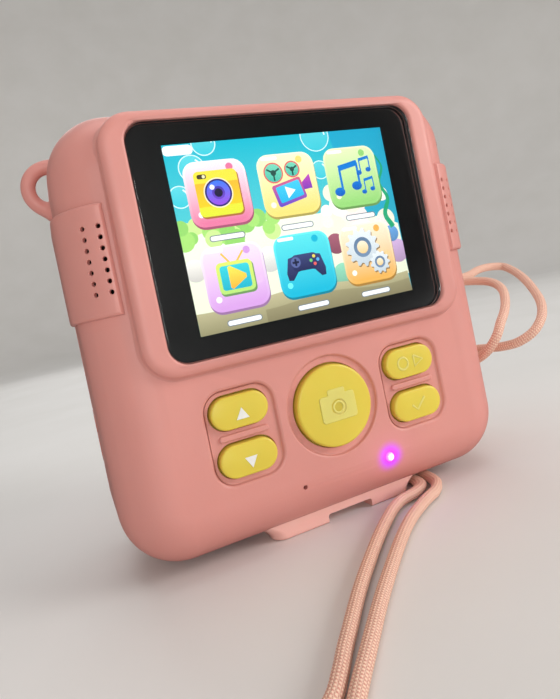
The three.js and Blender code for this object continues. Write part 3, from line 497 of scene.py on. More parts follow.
def wrapped(name, colour):
    """Crinkled metallised film."""
    material, tree, shader, place = start_material(name)
    folds = noise(tree, place, 260.0, 6.0)
    set_inputs(tree, shader, {
        "Base Color": colour, "Metallic": 0.75, "Roughness": span(tree, folds, 0.25, 0.5),
        "Normal": bump(tree, folds, 0.0003, 0.5),
    })
    return material


def paper(name):
    """Thermal paper: fibres on the face, wound layers on the ends."""
    material, tree, shader, place = start_material(name)
    fibres = noise(tree, place, 1800.0, 6.0)
    centre = tuple(middle_mm("paper_roll") * MM)
    arm = node(tree, "VectorMath", {0: place, 1: centre}, operation="SUBTRACT").outputs["Vector"]
    flat = node(tree, "VectorMath", {0: arm, 1: (0.0, 1.0, 1.0)}, operation="MULTIPLY").outputs["Vector"]
    radius = node(tree, "VectorMath", {0: flat}, operation="LENGTH").outputs["Value"]
    turns = node(tree, "Math", {0: radius, 1: 22000.0}, operation="MULTIPLY").outputs["Value"]
    layers = node(tree, "Math", {0: turns}, operation="SINE").outputs["Value"]
    side = node(tree, "SeparateXYZ", {"Vector": node(tree, "NewGeometry").outputs["Normal"]}).outputs["X"]
    on_end = span(tree, node(tree, "Math", {0: side}, operation="ABSOLUTE").outputs["Value"], 0, 1, 0.8, 0.95)
    shade = node(tree, "Math", {0: span(tree, layers, 0, 0.35, -1, 1), 1: on_end},
                 operation="MULTIPLY").outputs["Value"]
    white = linear(244, 242, 234)
    set_inputs(tree, shader, {
        "Base Color": mix(tree, shade, white, tone(white, 0.62)), "Roughness": 0.7,
        "Normal": bump(tree, fibres, 0.00002, 0.5), "Subsurface Weight": 0.1, "Subsurface Scale": 0.001,
    })
    return material


def clear(name, tint=(1, 1, 1, 1), ior=1.5, rough=0.02):
    """Thin clear glass or plastic: see-through, with a mirror skin that strengthens at low angles."""
    material, tree, shader, place = start_material(name)
    tree.nodes.remove(shader)
    wipe = span(tree, noise(tree, place, 60.0, 5.0), rough, rough + 0.05)
    through = node(tree, "BsdfTransparent", {"Color": tint}).outputs["BSDF"]
    skin = node(tree, "BsdfGlossy", {"Color": (1, 1, 1, 1), "Roughness": wipe}).outputs["BSDF"]
    share = node(tree, "Fresnel", {"IOR": ior}).outputs["Fac"]
    both = node(tree, "MixShader", {0: share, 1: through, 2: skin}).outputs["Shader"]
    tree.links.new(both, tree.nodes["Material Output"].inputs["Surface"])
    return material


def coated_glass(name):
    """A lens element: dark body, violet and green coating that shifts with the angle."""
    material, tree, shader, place = start_material(name)
    facing = node(tree, "LayerWeight", {"Blend": 0.35}).outputs["Facing"]
    coat = mix(tree, span(tree, facing, 0, 1, 0.1, 0.8), linear(70, 30, 120), linear(20, 110, 90))
    dust = noise(tree, place, 2200.0, 4.0)
    set_inputs(tree, shader, {
        "Base Color": linear(4, 5, 8), "Roughness": span(tree, dust, 0.01, 0.06), "Specular Tint": coat,
        "Specular IOR Level": 1.0, "IOR": 1.8, "Coat Weight": 1.0, "Coat Roughness": 0.02,
    })
    return material


def light_tip(name):
    """The status light, white-hot in its middle and violet at its rim."""
    material, tree, shader, place = start_material(name)
    centre = (LED.x * MM, FRONT * MM, LED.z * MM)
    away = node(tree, "VectorMath", {0: place, 1: centre}, operation="DISTANCE").outputs["Value"]
    core = span(tree, away, 1, 0, 0.0003, 0.0008)
    set_inputs(tree, shader, {
        "Base Color": linear(230, 200, 255), "Roughness": 0.15,
        "Emission Strength": span(tree, core, 0.8, 4, 0, 1),
        "Emission Color": mix(tree, core, linear(215, 60, 255), linear(255, 235, 255)),
    })
    return material


def painted_light(name):
    """The lit picture: each face of the mesh carries its own colour."""
    material, tree, shader, _ = start_material(name)
    tint = node(tree, "Attribute", attribute_name="tint").outputs["Color"]
    facing = node(tree, "LayerWeight", {"Blend": 0.5}).outputs["Facing"]
    dim = span(tree, facing, 1.35, 0.7, 0.3, 1.0)
    set_inputs(tree, shader, {
        "Base Color": (0, 0, 0, 1), "Roughness": 0.6, "Emission Color": tint, "Emission Strength": dim,
    })
    return material


def braided(name, colour, fleck_and_glint):
    """Polyester braid: each strand carries fine filaments, and some catch the light as painted glints; the
    low places between strands get painted shade.
    """
    material, tree, shader, place = start_material(name)
    strand = node(tree, "Attribute", attribute_name="strand").outputs["Fac"]
    lift = node(tree, "Attribute", attribute_name="lift").outputs["Fac"]
    fibre = noise(tree, place, 5200.0, 3.0)
    base = mix(tree, span(tree, strand, 0, 1, 0.35, 0.65), colour, fleck_and_glint)
    # Painted shade: where the strands lie low (small lift), in the valleys between them, the colour is
    # darkened.
    base = mix(tree, span(tree, lift, 0.75, 0, 0, 0.6), base, tone(colour, 0.38))
    # Painted glints: random filaments are lightened towards the fleck colour, as if they caught the light.
    base = mix(tree, span(tree, fibre, 0, 0.35), base, tone(fleck_and_glint, 1.1))
    set_inputs(tree, shader, {
        "Base Color": base, "Roughness": span(tree, fibre, 0.45, 0.75), "Sheen Weight": 0.4,
        "Sheen Tint": fleck_and_glint, "Sheen Roughness": 0.35, "Normal": bump(tree, fibre, 0.00006, 0.8),
    })
    return material


def ink(name):
    """Black ink screened on the back of the glass."""
    material, tree, shader, place = start_material(name)
    dots = noise(tree, place, 1500.0, 3.0)
    set_inputs(tree, shader, {"Base Color": linear(9, 10, 12), "Roughness": span(tree, dots, 0.35, 0.55),
                              "Normal": bump(tree, dots, 0.00001, 0.3)})
    return material


PINK_TONE = linear(219, 149, 140)
PINK = moulded("pink_shell_plastic", PINK_TONE)
PINK_LIT = lit_shell("pink_shell_lit", PINK_TONE)
# The foot's pink is painted paler than the case's pink: painted light for the foot's front face, which faces
# the lamps.
PINK_FOOT_PAINTED_LIT = moulded("pink_foot_plastic_painted_lit", linear(240, 184, 173), rough=0.38)
YELLOW = moulded("yellow_key_plastic", linear(226, 205, 76), rough=0.36, grain=0.35, soft=0.2)
PALE_YELLOW = moulded("pale_yellow_mark", linear(234, 218, 116), rough=0.36, grain=0.35, soft=0.2)
WHITE_MARK = moulded("white_key_mark", linear(244, 243, 236), rough=0.4, grain=0.3)
BLACK_PLASTIC = moulded("black_plastic", linear(30, 31, 33), rough=0.5, soft=0.0)
NYLON = moulded("white_nylon", linear(232, 228, 216), rough=0.45, soft=0.25)
PINK_RUBBER = rubber("pink_rubber", linear(196, 122, 110))
DARK_RUBBER = rubber("dark_rubber", linear(44, 43, 42))
STEEL = metal("drawn_steel", linear(188, 191, 195), 0.28)
SILVER = metal("silver_ring_metal", linear(212, 214, 218), 0.18, 0.3, (1, 60, 1))
BOARD_GREEN = circuit("green_board", linear(24, 92, 58))
FLEX = moulded("flex_film", linear(190, 124, 48), rough=0.3)
BATTERY_WRAP = wrapped("silver_wrap", linear(196, 199, 204))
PAPER = paper("thermal_paper")
GLASS = clear("window_glass", (0.97, 0.98, 0.98, 1))
LENS_COVER = clear("lens_cover_glass", (0.8, 0.84, 0.92, 1), 1.6, 0.01)
LENS_GLASS = coated_glass("coated_lens_glass")
GOLD = metal("contact_gold", linear(214, 176, 96), 0.22, 0.2)
DIFFUSER = moulded("flash_diffuser", linear(240, 242, 244), rough=0.2, grain=0.9, soft=0.5)
LED_TIP = light_tip("status_light")
PICTURE = painted_light("screen_picture")
CORD = braided("pink_braid", linear(214, 140, 124), linear(248, 214, 190))
THREAD = braided("dark_thread", linear(92, 60, 50), linear(132, 92, 78))
INK = ink("black_window_ink")


# ---------------------------------------------------------------- the case form
RIM_ROUND = 0.3                        # easing of the parting line
CASE_STEPS = 18


def rolled_edge(grow, steps=CASE_STEPS):
    """(distance behind the face, inset) along the roll from a flat face to the side."""
    edge = EDGE + grow
    return [(edge * (1 - math.cos(a)), edge * (1 - math.sin(a))) for a in angles(steps)]


def case_ring(y, grow=0.0, inset=0.0):
    return ring_xz(y, HALF_WIDTH + grow - inset, HALF_HEIGHT + grow - inset, CORNER + grow - inset,
                   (0, MIDDLE_Z), CASE_STEPS)


def case_form(name, grow):
    """The closed outside form of the whole case, grown outward by a distance."""
    rings = [case_ring(FRONT - grow + d, grow, inset) for d, inset in rolled_edge(grow)]
    rings += [case_ring(BACK + grow - d, grow, inset) for d, inset in reversed(rolled_edge(grow))]
    return loft(name, rings)


def half_shell(name, face, rim):
    """Half of the hollow case as one closed skin: out from its face, over the parting rim and back inside."""
    way = 1 if rim > face else -1
    rings = [case_ring(face + way * d, 0, inset) for d, inset in rolled_edge(0)]
    rings += [case_ring(rim - way * depth, 0, inset) for depth, inset in quarter_round(RIM_ROUND)]
    rings.append(case_ring(rim, 0, WALL))
    rings += [case_ring(face + way * (WALL + d), -WALL, inset) for d, inset in reversed(rolled_edge(-WALL))]
    return loft(name, rings)


RIM_TURN = 84                          # a pocket's rim stops short of lying flat, so that the cut stays clean


def pocket(face, floor, rim, fillet=0.0):
    """(y, inset) of a cutter that eases the rim of a pocket and fillets its floor. It looks out along -Y."""
    stations = [(face - 1.5, -rim * (1 - math.cos(math.radians(RIM_TURN))))]
    stations += [(face + depth, -inset) for depth, inset in quarter_round(rim, 5, RIM_TURN, 0)]
    if fillet:
        stations += [(floor - depth, inset) for depth, inset in quarter_round(fillet)]
    else:
        stations.append((floor, 0))
    return stations


def round_pocket(name, radius, place, face, floor, rim, fillet=0.0, segments=72):
    profile = [(radius - inset, y) for y, inset in pocket(face, floor, rim, fillet)]
    return lathe(name, [(0, profile[0][1])] + profile + [(0, floor)], (place.x, place.z), segments)


def key_size(key):
    """Middle and half size of a key's cap."""
    low, high = box_mm(key)
    return (low + high) / 2, (high.x - low.x) / 2 - KEY_FLANGE, (high.z - low.z) / 2 - KEY_FLANGE


PANEL_MARGIN = 1.2                     # the recess round a pair of keys reaches this far beyond them
PANEL_SHIFT = Vector((0.25, 0, -0.1))


def key_panels():
    """Middle and half size of the shallow recess round each pair of keys."""
    for upper, lower in (KEYS[:2], KEYS[2:]):
        top, half_w, half_h = key_size(upper)
        bottom = key_size(lower)[0]
        middle = (top + bottom) / 2 + PANEL_SHIFT
        yield middle, half_w + PANEL_MARGIN, (top.z - bottom.z) / 2 + half_h + PANEL_MARGIN


def doorway(name):
    """Room for the paper door, cut through the top of both halves."""
    return block(name, (DOOR_LOW.x - GAP, DOORWAY_FRONT, DOORWAY_SILL), (DOOR_HIGH.x + GAP, BEYOND, ABOVE))


def on_doorway(point):
    """True on the doorway's rim."""
    room = 0.06
    inside = abs(point.x) < DOOR_HIGH.x + GAP + room and point.y > DOORWAY_FRONT - room
    return inside and point.z > DOORWAY_SILL - room


def front_recesses():
    """Cutters for the window, the groove round the shutter key, the key recesses and the screw bores."""
    window = slab("window_room", GLASS_HIGH.x + 1.5, (GLASS_HIGH.z - GLASS_LOW.z) / 2 + 1.4, 5.4,
                  (0, SCREEN.z), [(-30, 0), (-10, 0)])
    cutters = [window, round_pocket("groove", GROOVE_RADIUS, SHUTTER, FRONT, GROOVE_FLOOR, 0.45, 0.35, 96)]
    for middle, half_w, half_h in key_panels():
        recess = pocket(FRONT, PANEL_FLOOR, 0.8, 0.35)
        cutters.append(slab("panel", half_w, half_h, 3.9, (middle.x, middle.z), recess))
    cutters += [rod("bore", 1.2, (s.x, -6, s.z), (s.x, 12, s.z), 24) for s in SCREWS]
    low, high = box_mm("right_speaker_grip")
    for side in (-1, 1):
        x_near, x_far = sorted((side * (low.x + 0.8), side * (high.x - 2.5)))
        cutters.append(block("sound", (x_near, -24, low.z + 2), (x_far, -12, high.z - 2)))
    return cutters


def key_ribs():
    """The low rib between the two keys of each pair."""
    round_over = 0.35
    profile = [(PANEL_FLOOR + 0.15, 0), (FRONT + round_over, 0)]
    profile += [(FRONT + depth, inset) for depth, inset in quarter_round(round_over)]
    return [slab("rib", half_w - 1.9, 0.62, 0.6, (middle.x, middle.z), profile)
            for middle, half_w, _ in key_panels()]


def front_openings():
    """Cutters for the holes that the keys, the light, the microphone and the power key look through."""
    inside = SHELL_INSIDE
    cutters = [round_pocket("shutter_room", SHUTTER_RADIUS + GAP, SHUTTER, GROOVE_FLOOR, inside, 0.15, 0, 96)]
    for key in KEYS:
        middle, half_w, half_h = key_size(key)
        cutters.append(slab("key_room", half_w + GAP, half_h + GAP, half_h + GAP - 0.01, (middle.x, middle.z),
                            pocket(PANEL_FLOOR, inside, 0.15)))
    cutters.append(round_pocket("light_room", 1.1, LED, FRONT + 0.15, inside, 0.2, 0, 40))
    cutters.append(round_pocket("mic_room", 0.45, MIC, FRONT + 0.15, inside, 0.15, 0, 32))
    place = Vector((POWER.y, 0, POWER.z))
    power = round_pocket("power_room", POWER_RADIUS + GAP, place, -HALF_WIDTH, -38, 0.25, 0, 56)
    return cutters + [face_side(power, 1)]


def screen_side_shell():
    shell = half_shell("front", FRONT, SPLIT - SEAM / 2)
    bosses = [rod("boss", 3, (s.x, FRONT + 1.2, s.z), (s.x, 10, s.z), 32, 0.3) for s in SCREWS]
    combine(shell, bosses, "UNION")
    soften(combine(shell, [doorway("door_room")]), 0.3, 3, 40, on_doorway)
    combine(shell, front_recesses())
    combine(shell, key_ribs(), "UNION")
    combine(shell, front_openings())
    return settle(paint(shell, PINK_LIT), "screen_side_case", "root", ["screen_side_shell"])


def swept(name, points, radius, sides=24, closed=False):
    """A round tube through points; the radius is a number or a function of the place along it."""
    rings = []
    side = None
    for i, centre in enumerate(points):
        before = points[i - 1] if i or closed else points[0]
        after = points[(i + 1) % len(points)] if closed or i + 1 < len(points) else points[-1]
        way = (after - before).normalized()
        side = way.orthogonal().normalized() if side is None else (side - way * side.dot(way)).normalized()
        up = way.cross(side)
        size = radius(i / (len(points) - 1)) if callable(radius) else radius
        rings.append([centre + (side * math.cos(a) + up * math.sin(a)) * size
                      for a in angles(sides, 0, 360)[:-1]])
    return loft(name, rings, not closed)


EYELET = Vector((44.3, 4.5, 83.1))
EYELET_RING = 4.75
EYELET_TUBE = 1.5


def eyelet(side):
    """A strap eye that stands from the shoulder of the case and swells where it joins."""
    turns = angles(60, -118, 118)
    spots = [Vector((side * (EYELET.x + EYELET_RING * math.cos(a)), EYELET.y,
                     EYELET.z + EYELET_RING * math.sin(a)))
             for a in turns]

    def size(along):
        spot = spots[round(along * (len(spots) - 1))]
        corner = Vector((HALF_WIDTH - CORNER, CASE_HIGH.z - CORNER))
        here = Vector((abs(spot.x), spot.z))
        depth = (here - corner).length - CORNER if here.y > corner.y else here.x - HALF_WIDTH
        return EYELET_TUBE + 0.9 * math.exp(-max(depth, 0) / 0.7)

    return swept("eyelet", spots, size, 28)


def hinge_eye(span_x):
    return rod("eye", 1.5, (span_x[0], HINGE.y, HINGE.z), (span_x[1], HINGE.y, HINGE.z), 32, 0.2)


def hinge_room(span_x):
    return rod("eye_room", 1.8, (span_x[0] - GAP, HINGE.y, HINGE.z), (span_x[1] + GAP, HINGE.y, HINGE.z), 32)


def hinge_bore():
    return rod("hinge_bore", 0.85, (-30, HINGE.y, HINGE.z), (30, HINGE.y, HINGE.z), 24)


def lens_collar():
    """The raised ring round the lens, faired into the back."""
    outer, inner, front = 15, LENS_RADIUS + SEAM, LENS_FRONT - 2
    hollow, shoulder, lip = 1.5, 0.9, 0.3
    profile = [(inner, BACK - 1), (outer + hollow + 0.1, BACK - 1), (outer + hollow, BACK + 0.02)]
    profile += [(outer + depth, BACK + inset) for depth, inset in quarter_round(hollow, 6)[1:]]
    profile += [(outer - inset, front - depth) for depth, inset in quarter_round(shoulder, 6)]
    profile += [(inner + depth, front - inset) for depth, inset in quarter_round(lip, 3)]
    return lathe("collar", profile, (LENS.x, LENS.z), 128)


def screw_room(place):
    top = box_mm("case_screw_1")[1].y - 2
    profile = [(0, 5), (1.2, 5), (1.2, top), (2.9, top), (2.9, 21.0), (3.5, 21.6), (3.5, 30), (0, 30)]
    return lathe("screw_room", profile, (place.x, place.z), 40)


def lens_side_shell():
    shell = half_shell("rear", BACK, SPLIT + SEAM / 2)
    inside = case_form("inside", -WALL / 2)
    towers = [rod("tower", 4, (s.x, 10.2, s.z), (s.x, 21, s.z), 32) for s in SCREWS]
    towers = combine(merge(towers[0], towers[1:]), [inside], "INTERSECT")
    eyes = [eyelet(-1), eyelet(1)]
    for eye in eyes:
        combine(eye, [case_form("keep_out", -WALL)])
    combine(shell, [towers, lens_collar()] + eyes, "UNION")
    soften(combine(shell, [doorway("door_room")]), 0.3, 3, 40, on_doorway)
    combine(shell, [hinge_eye(s) for s in FIXED_EYES], "UNION")
    cutters = [hinge_room(s) for s in DOOR_EYES] + [hinge_bore()]
    cutters.append(rod("lens_room", LENS_RADIUS + SEAM, (0, 10, LENS.z), (0, BACK + 1, LENS.z), 128))
    flash = lathe("flash_room", [(0, 10), (3.7, 10), (3.7, BACK - 0.25), (3.95, BACK), (3.95, 30), (0, 30)],
                  (FLASH.x, FLASH.z), 56)
    cutters += [flash] + [screw_room(s) for s in SCREWS]
    combine(shell, cutters)
    combine(shell, [port_room(), port_mouth(), card_room()])
    return settle(paint(shell, PINK), "lens_side_case", "root", ["lens_side_shell"])


def port_room():
    """The shallow seat of the port cover in the left side."""
    middle = (PORT_LOW + PORT_HIGH) / 2
    half_w = (PORT_HIGH.y - PORT_LOW.y) / 2 + GAP
    half_h = (PORT_HIGH.z - PORT_LOW.z) / 2 + GAP
    seat = slab("port_room", half_w, half_h, 1.6, (-middle.y, middle.z),
                pocket(-HALF_WIDTH, 1.2 - HALF_WIDTH, 0.3, 0.1))
    return face_side(seat, -1)


def port_mouth():
    low, high = box_mm("usb_socket")
    middle = (low + high) / 2
    mouth = slab("port_mouth", 1.9, 4.8, 1.8, (-middle.y, middle.z), [(-50, 0), (-40, 0)])
    return face_side(mouth, -1)


def card_room():
    low, high = box_mm("memory_card")
    half_h = (high.z - low.z) / 2 + GAP
    slot = slab("card_room", 0.8, half_h, 0.3, (-CARD.y, CARD.z), pocket(-HALF_WIDTH, -40, 0.35))
    return face_side(slot, -1)


# ---------------------------------------------------------------- screen, its frame and its picture
RIM_WIDE, RIM_DEEP = 2.1, 1.35         # roll of the frame's outer edge
FLARE = 0.6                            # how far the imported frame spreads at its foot
FILLET = 1.05                          # hollow curve where the frame meets the case


def face_depth(x, z):
    """Depth of the case's screen side at a place: flat, then rolling away towards the outline."""
    across = abs(x) - (HALF_WIDTH - CORNER)
    up = abs(z - MIDDLE_Z) - (HALF_HEIGHT - CORNER)
    inside = CORNER - math.hypot(max(across, 0), max(up, 0)) - min(max(across, up), 0)
    roll = EDGE - max(0, min(inside, EDGE))
    return FRONT + EDGE - math.sqrt(EDGE ** 2 - roll ** 2)


def screen_frame():
    low, high = box_mm("screen_bezel")
    centre = (0, (low.z + high.z) / 2)
    outer = (high.x - FLARE, (high.z - low.z) / 2 - FLARE)
    glass = (GLASS_HIGH.x + 0.12, (GLASS_HIGH.z - GLASS_LOW.z) / 2 + 0.12)
    front = low.y
    floor = GLASS_HIGH.y + SEAM
    lip = 0.55

    def inner_ring(y, half, radius, inset=0.0):
        return ring_xz(y, half[0] + inset, half[1] + inset, radius + inset, (0, SCREEN.z))

    def outer_ring(y, inset):
        return ring_xz(y, outer[0] - inset, outer[1] - inset, 6.5 - inset, centre)

    rings = [inner_ring(-12, LCD_ROOM, 1), inner_ring(floor, LCD_ROOM, 1), inner_ring(floor, glass, 4)]
    rings += [inner_ring(front + depth, glass, 4, inset) for depth, inset in quarter_round(lip, 5)]
    rings += [outer_ring(front + RIM_DEEP * (1 - math.sin(a)), RIM_WIDE * (1 - math.cos(a)))
              for a in angles(10, 90, 0)]
    for depth, inset in quarter_round(FILLET, 8)[1:]:
        hollow = outer_ring(0, -inset)
        rings.append([(x, face_depth(x, z) - depth + 0.03, z) for x, _, z in hollow])
    rings.append(outer_ring(-12, -FILLET))
    rim = combine(loft("rim", rings, capped=False), [case_form("case_space", 0.04)])
    half = (GLASS_HIGH.x + 1.3, (GLASS_HIGH.z - GLASS_LOW.z) / 2 + 1.25)
    plug = slab("plug", half[0], half[1], 5, (0, SCREEN.z), [(FRONT - 0.3, 0), (high.y, 0)])
    hole = slab("hole", LCD_ROOM[0], LCD_ROOM[1], 1, (0, SCREEN.z), [(-40, 0), (0, 0)])
    lcd_low, lcd_high = box_mm("lcd_panel")
    seat = slab("seat", lcd_high.x + 0.2, (lcd_high.z - lcd_low.z) / 2 + 0.2, 1, (0, SCREEN.z),
                [(lcd_low.y - SEAM, 0), (0, 0)])
    combine(plug, [hole, seat])
    combine(rim, [plug], "UNION")
    return settle(paint(rim, PINK), "screen_frame", "root", ["screen_bezel"], 50)


def screen_glass():
    half = (GLASS_HIGH.x, (GLASS_HIGH.z - GLASS_LOW.z) / 2)
    ease = 0.3
    profile = [(GLASS_HIGH.y, 0), (GLASS_LOW.y + ease, 0)]
    profile += [(GLASS_LOW.y + depth, inset) for depth, inset in quarter_round(ease)[1:]]
    glass = slab("glass", half[0], half[1], 4, (0, SCREEN.z), profile, 20)
    return settle(paint(glass, GLASS), "screen_glass", "root", ["screen_window"])


def glass_border():
    """The black border printed behind the glass, open over the picture."""
    back = GLASS_HIGH.y
    outer = (GLASS_HIGH.x - 0.05, (GLASS_HIGH.z - GLASS_LOW.z) / 2 - 0.05)
    inner = (VIEW[0] / 2 + 0.15, VIEW[1] / 2 + 0.15)
    rings = []
    for y in (back + 0.08, back + 0.02):
        rings.append(ring_xz(y, outer[0], outer[1], 4, (0, SCREEN.z)))
    for y in (back + 0.02, back + 0.08):
        rings.append(ring_xz(y, inner[0], inner[1], 0.3, (0, SCREEN.z)))
    return settle(paint(loft("border", rings, capped=False), INK), "glass_border")


PICTURE_DEPTH = -20.5                  # the lit layer lies close behind the glass
LAYER_STEP = 0.0005


class Picture:
    """Flat coloured shapes in layers. u runs right and v down, in mm from the picture's top left."""

    def __init__(self):
        self.points, self.faces, self.tints = [], [], []
        self.layer = 0

    def shape(self, outline, tint, foot=None, new_layer=True):
        """A filled outline on a layer of its own; foot is the tint at its lower end."""
        self.layer += new_layer
        depth = PICTURE_DEPTH - LAYER_STEP * self.layer
        low, high = min(p[1] for p in outline), max(p[1] for p in outline)
        first = len(self.points)
        left, top = -VIEW[0] / 2, SCREEN.z + VIEW[1] / 2
        top_tint, foot_tint = linear(*tint), linear(*(foot or tint))
        for u, v in outline:
            u, v = max(0, min(u, VIEW[0])), max(0, min(v, VIEW[1]))
            self.points.append((left + u, depth, top - v))
            share = max(0, min(1, (v - low) / max(high - low, 1e-6)))
            self.tints.append([a + (b - a) * share for a, b in zip(top_tint, foot_tint)])
        self.faces.append(tuple(range(first, len(self.points))))

    def oval(self, u, v, radius, tint, foot=None, stretch=1.0, steps=36):
        self.shape([(u + radius * stretch * math.cos(a), v + radius * math.sin(a))
                    for a in angles(steps, 0, 360)[:-1]],
                   tint, foot)

    def tile(self, u, v, width, height, corner, tint, foot=None, turn=0.0):
        """A rounded rectangle about its middle (u, v)."""
        cos, sin = math.cos(math.radians(turn)), math.sin(math.radians(turn))
        ring = ring_xz(0, width / 2, height / 2, corner, (0, 0), 6)
        self.shape([(u + x * cos - z * sin, v + x * sin + z * cos) for x, _, z in ring], tint, foot)

    def stroke(self, path, width, tint):
        """A line of even width through points."""
        left, right = [], []
        for i, (u, v) in enumerate(path):
            a, b = path[max(i - 1, 0)], path[min(i + 1, len(path) - 1)]
            du, dv = b[0] - a[0], b[1] - a[1]
            reach = max(math.hypot(du, dv), 1e-6)
            wide = (width(i / (len(path) - 1)) if callable(width) else width) / 2
            left.append((u - dv / reach * wide, v + du / reach * wide))
            right.append((u + dv / reach * wide, v - du / reach * wide))
        self.layer += 1
        for i in range(len(path) - 1):
            corners = [left[i], left[i + 1], right[i + 1], right[i]]
            if any(0 < u < VIEW[0] and 0 < v < VIEW[1] for u, v in corners):
                self.shape(corners, tint, new_layer=False)

    def hoop(self, u, v, radius, width, tint, start=0, end=360, steps=32):
        self.stroke([(u + radius * math.cos(a), v + radius * math.sin(a)) for a in angles(steps, start, end)],
                    width, tint)

    def finish(self):
        made = make_object("picture", self.points, self.faces)
        layer = made.data.color_attributes.new("tint", "FLOAT_COLOR", "POINT")
        layer.data.foreach_set("color", [c for tint in self.tints for c in tint])
        return made


TILE = 12.8
TILE_COLUMNS = (9.3, 24.6, 39.9)
TILE_ROWS = (10.1, 26.8)
LABEL_DROP = 8.75
TILE_TINTS = [
    [((255, 236, 244), (232, 120, 160)), ((252, 248, 205), (244, 222, 120)),
     ((232, 250, 190), (150, 214, 120))],
    [((250, 226, 248), (214, 158, 226)), ((92, 226, 232), (20, 182, 214)), ((253, 240, 214), (240, 178, 84))],
]


LEAVES = [(206, 240, 150), (170, 226, 120), (150, 214, 110)]
FOAM = [(252, 252, 240), (244, 240, 220), (250, 236, 232)]


def sea_scene(art):
    """Plain water, weed, foam and sand behind the tiles."""
    width, height = VIEW
    art.shape([(0, 0), (width, 0), (width, height), (0, height)], (22, 184, 206), (120, 222, 214))
    art.shape([(36, 0), (width, 0), (width, height), (41, height)], (30, 168, 204), (60, 170, 190))
    for u, v, radius in ((5.0, 4.9, 2.6), (8.2, 0.2, 2.4), (1.6, 10.1, 2.1), (32.6, 0.6, 3.3),
                         (32.4, 7.9, 1.9)):
        art.oval(u, v, radius, (96, 214, 224), (60, 200, 216))
        art.hoop(u, v, radius, 0.22, (214, 246, 248))
        art.hoop(u, v, radius * 0.72, 0.3, (240, 254, 254), -60, 0, 10)
    hill = [(u, 18.2 - 3.2 * math.sin(u * 0.085) - 0.7 * math.sin(u * 0.6)) for u in range(0, 50)]
    art.shape(hill + [(width, 33), (0, 33)], (246, 250, 232), (236, 240, 214))
    for _ in range(26):
        u, v = random.uniform(-1, 20), random.uniform(15.5, 21)
        art.oval(u, v, random.uniform(1.2, 2.3), random.choice(LEAVES))
    for _ in range(22):
        u, v = random.uniform(29, 47), random.uniform(13, 24)
        art.oval(u, v, random.uniform(1.3, 2.6), random.choice(FOAM))
    for u, v, radius, tint in ((32.6, 23.8, 2.2, (168, 96, 116)), (33.0, 30.4, 2.4, (150, 222, 190)),
                               (47.6, 27.6, 2.6, (214, 180, 224)), (46.8, 23.6, 1.8, (110, 170, 230)),
                               (1.6, 24.4, 2.2, (250, 246, 238)), (17.0, 24.6, 2.6, (252, 250, 244))):
        art.oval(u, v, radius, tint, tuple(int(c * 0.82) for c in tint))
    dune = [(u, 32.0 + 0.7 * math.sin(u * 0.16 + 1)) for u in range(0, 50)]
    art.shape(dune + [(width, height), (0, height)], (196, 188, 148), (150, 144, 108))
    art.shape([(u, 33.9 - 0.5 * math.cos(u * 0.22)) for u in range(14, 50)] + [(width, height), (14, height)],
              (160, 152, 116), (136, 128, 96))
    weed = [(46.9 + 0.7 * math.sin(v * 0.9), v) for v in [6 + 0.6 * k for k in range(28)]]
    art.stroke(weed, lambda t: 0.35 + 0.9 * t, (38, 168, 118))
    art.tile(2.9, 1.2, 6.0, 1.9, 0.9, (252, 253, 253))


def tile_plate(art, u, v, tints):
    light, deep = tints
    art.tile(u + 0.1, v + 0.5, TILE, TILE, 2.6, tuple(int(c * 0.72) for c in deep))
    art.tile(u, v, TILE, TILE, 2.6, tuple(min(255, c + 16) for c in light), deep)
    art.tile(u, v - 0.1, TILE - 0.9, TILE - 0.9, 2.3, light, deep)
    art.oval(u + 3.2, v - 4.9, 0.75, deep)
    art.oval(u - 4.3, v + 3.9, 0.6, tuple(min(255, c + 24) for c in light))
    art.oval(u + 4.7, v + 1.2, 0.9, tuple(int((a + b) / 2) for a, b in zip(light, deep)))
    art.tile(u - 3.4, v - 5.6, 3.6, 0.7, 0.3, (255, 255, 255))


def camera_icon(art, u, v):
    art.tile(u + 0.2, v + 0.35, 9.0, 9.0, 1.1, (176, 110, 60))
    art.tile(u, v, 8.9, 8.9, 1.0, (252, 226, 70), (226, 232, 60))
    art.tile(u, v + 0.2, 8.9, 4.6, 0.2, (246, 186, 52), (238, 206, 40))
    art.tile(u - 2.8, v - 3.4, 1.9, 0.9, 0.4, (70, 62, 44))
    art.oval(u - 2.4, v - 3.4, 0.33, (236, 232, 190))
    art.oval(u, v, 3.0, (255, 236, 196))
    art.oval(u, v, 2.75, (48, 42, 120))
    art.oval(u, v, 2.4, (58, 122, 240), (150, 80, 222))
    art.oval(u, v, 1.3, (70, 60, 170), (112, 72, 200))
    art.oval(u, v, 0.85, (34, 30, 62))
    art.oval(u - 1.1, v - 1.2, 0.5, (250, 252, 255))


def reel(art, u, v, radius):
    art.oval(u, v, radius, (226, 104, 104))
    art.oval(u, v, radius - 0.3, (122, 216, 186), (70, 190, 170))
    for turn in (90, 210, 330):
        a = math.radians(turn)
        art.stroke([(u, v), (u + radius * 0.75 * math.cos(a), v + radius * 0.75 * math.sin(a))], 0.35,
                   (40, 78, 72))
    art.oval(u, v, radius * 0.28, (40, 78, 72))


def film_icon(art, u, v):
    reel(art, u - 3.0, v - 2.6, 2.15)
    reel(art, u + 1.3, v - 3.0, 1.75)
    art.shape([(u + 2.6, v + 0.2), (u + 4.9, v - 1.7), (u + 5.2, v + 1.3), (u + 3.0, v + 1.5)],
              (196, 70, 190), (120, 60, 180))
    art.tile(u - 0.2, v + 1.6, 6.8, 4.6, 0.5, (220, 96, 130), (92, 70, 200), -13)
    art.tile(u - 0.1, v + 1.5, 5.6, 3.4, 0.3, (70, 206, 240), (40, 180, 230), -13)
    art.shape([(u - 1.1, v + 0.4), (u + 1.2, v + 1.3), (u - 0.7, v + 2.9)], (250, 254, 255))


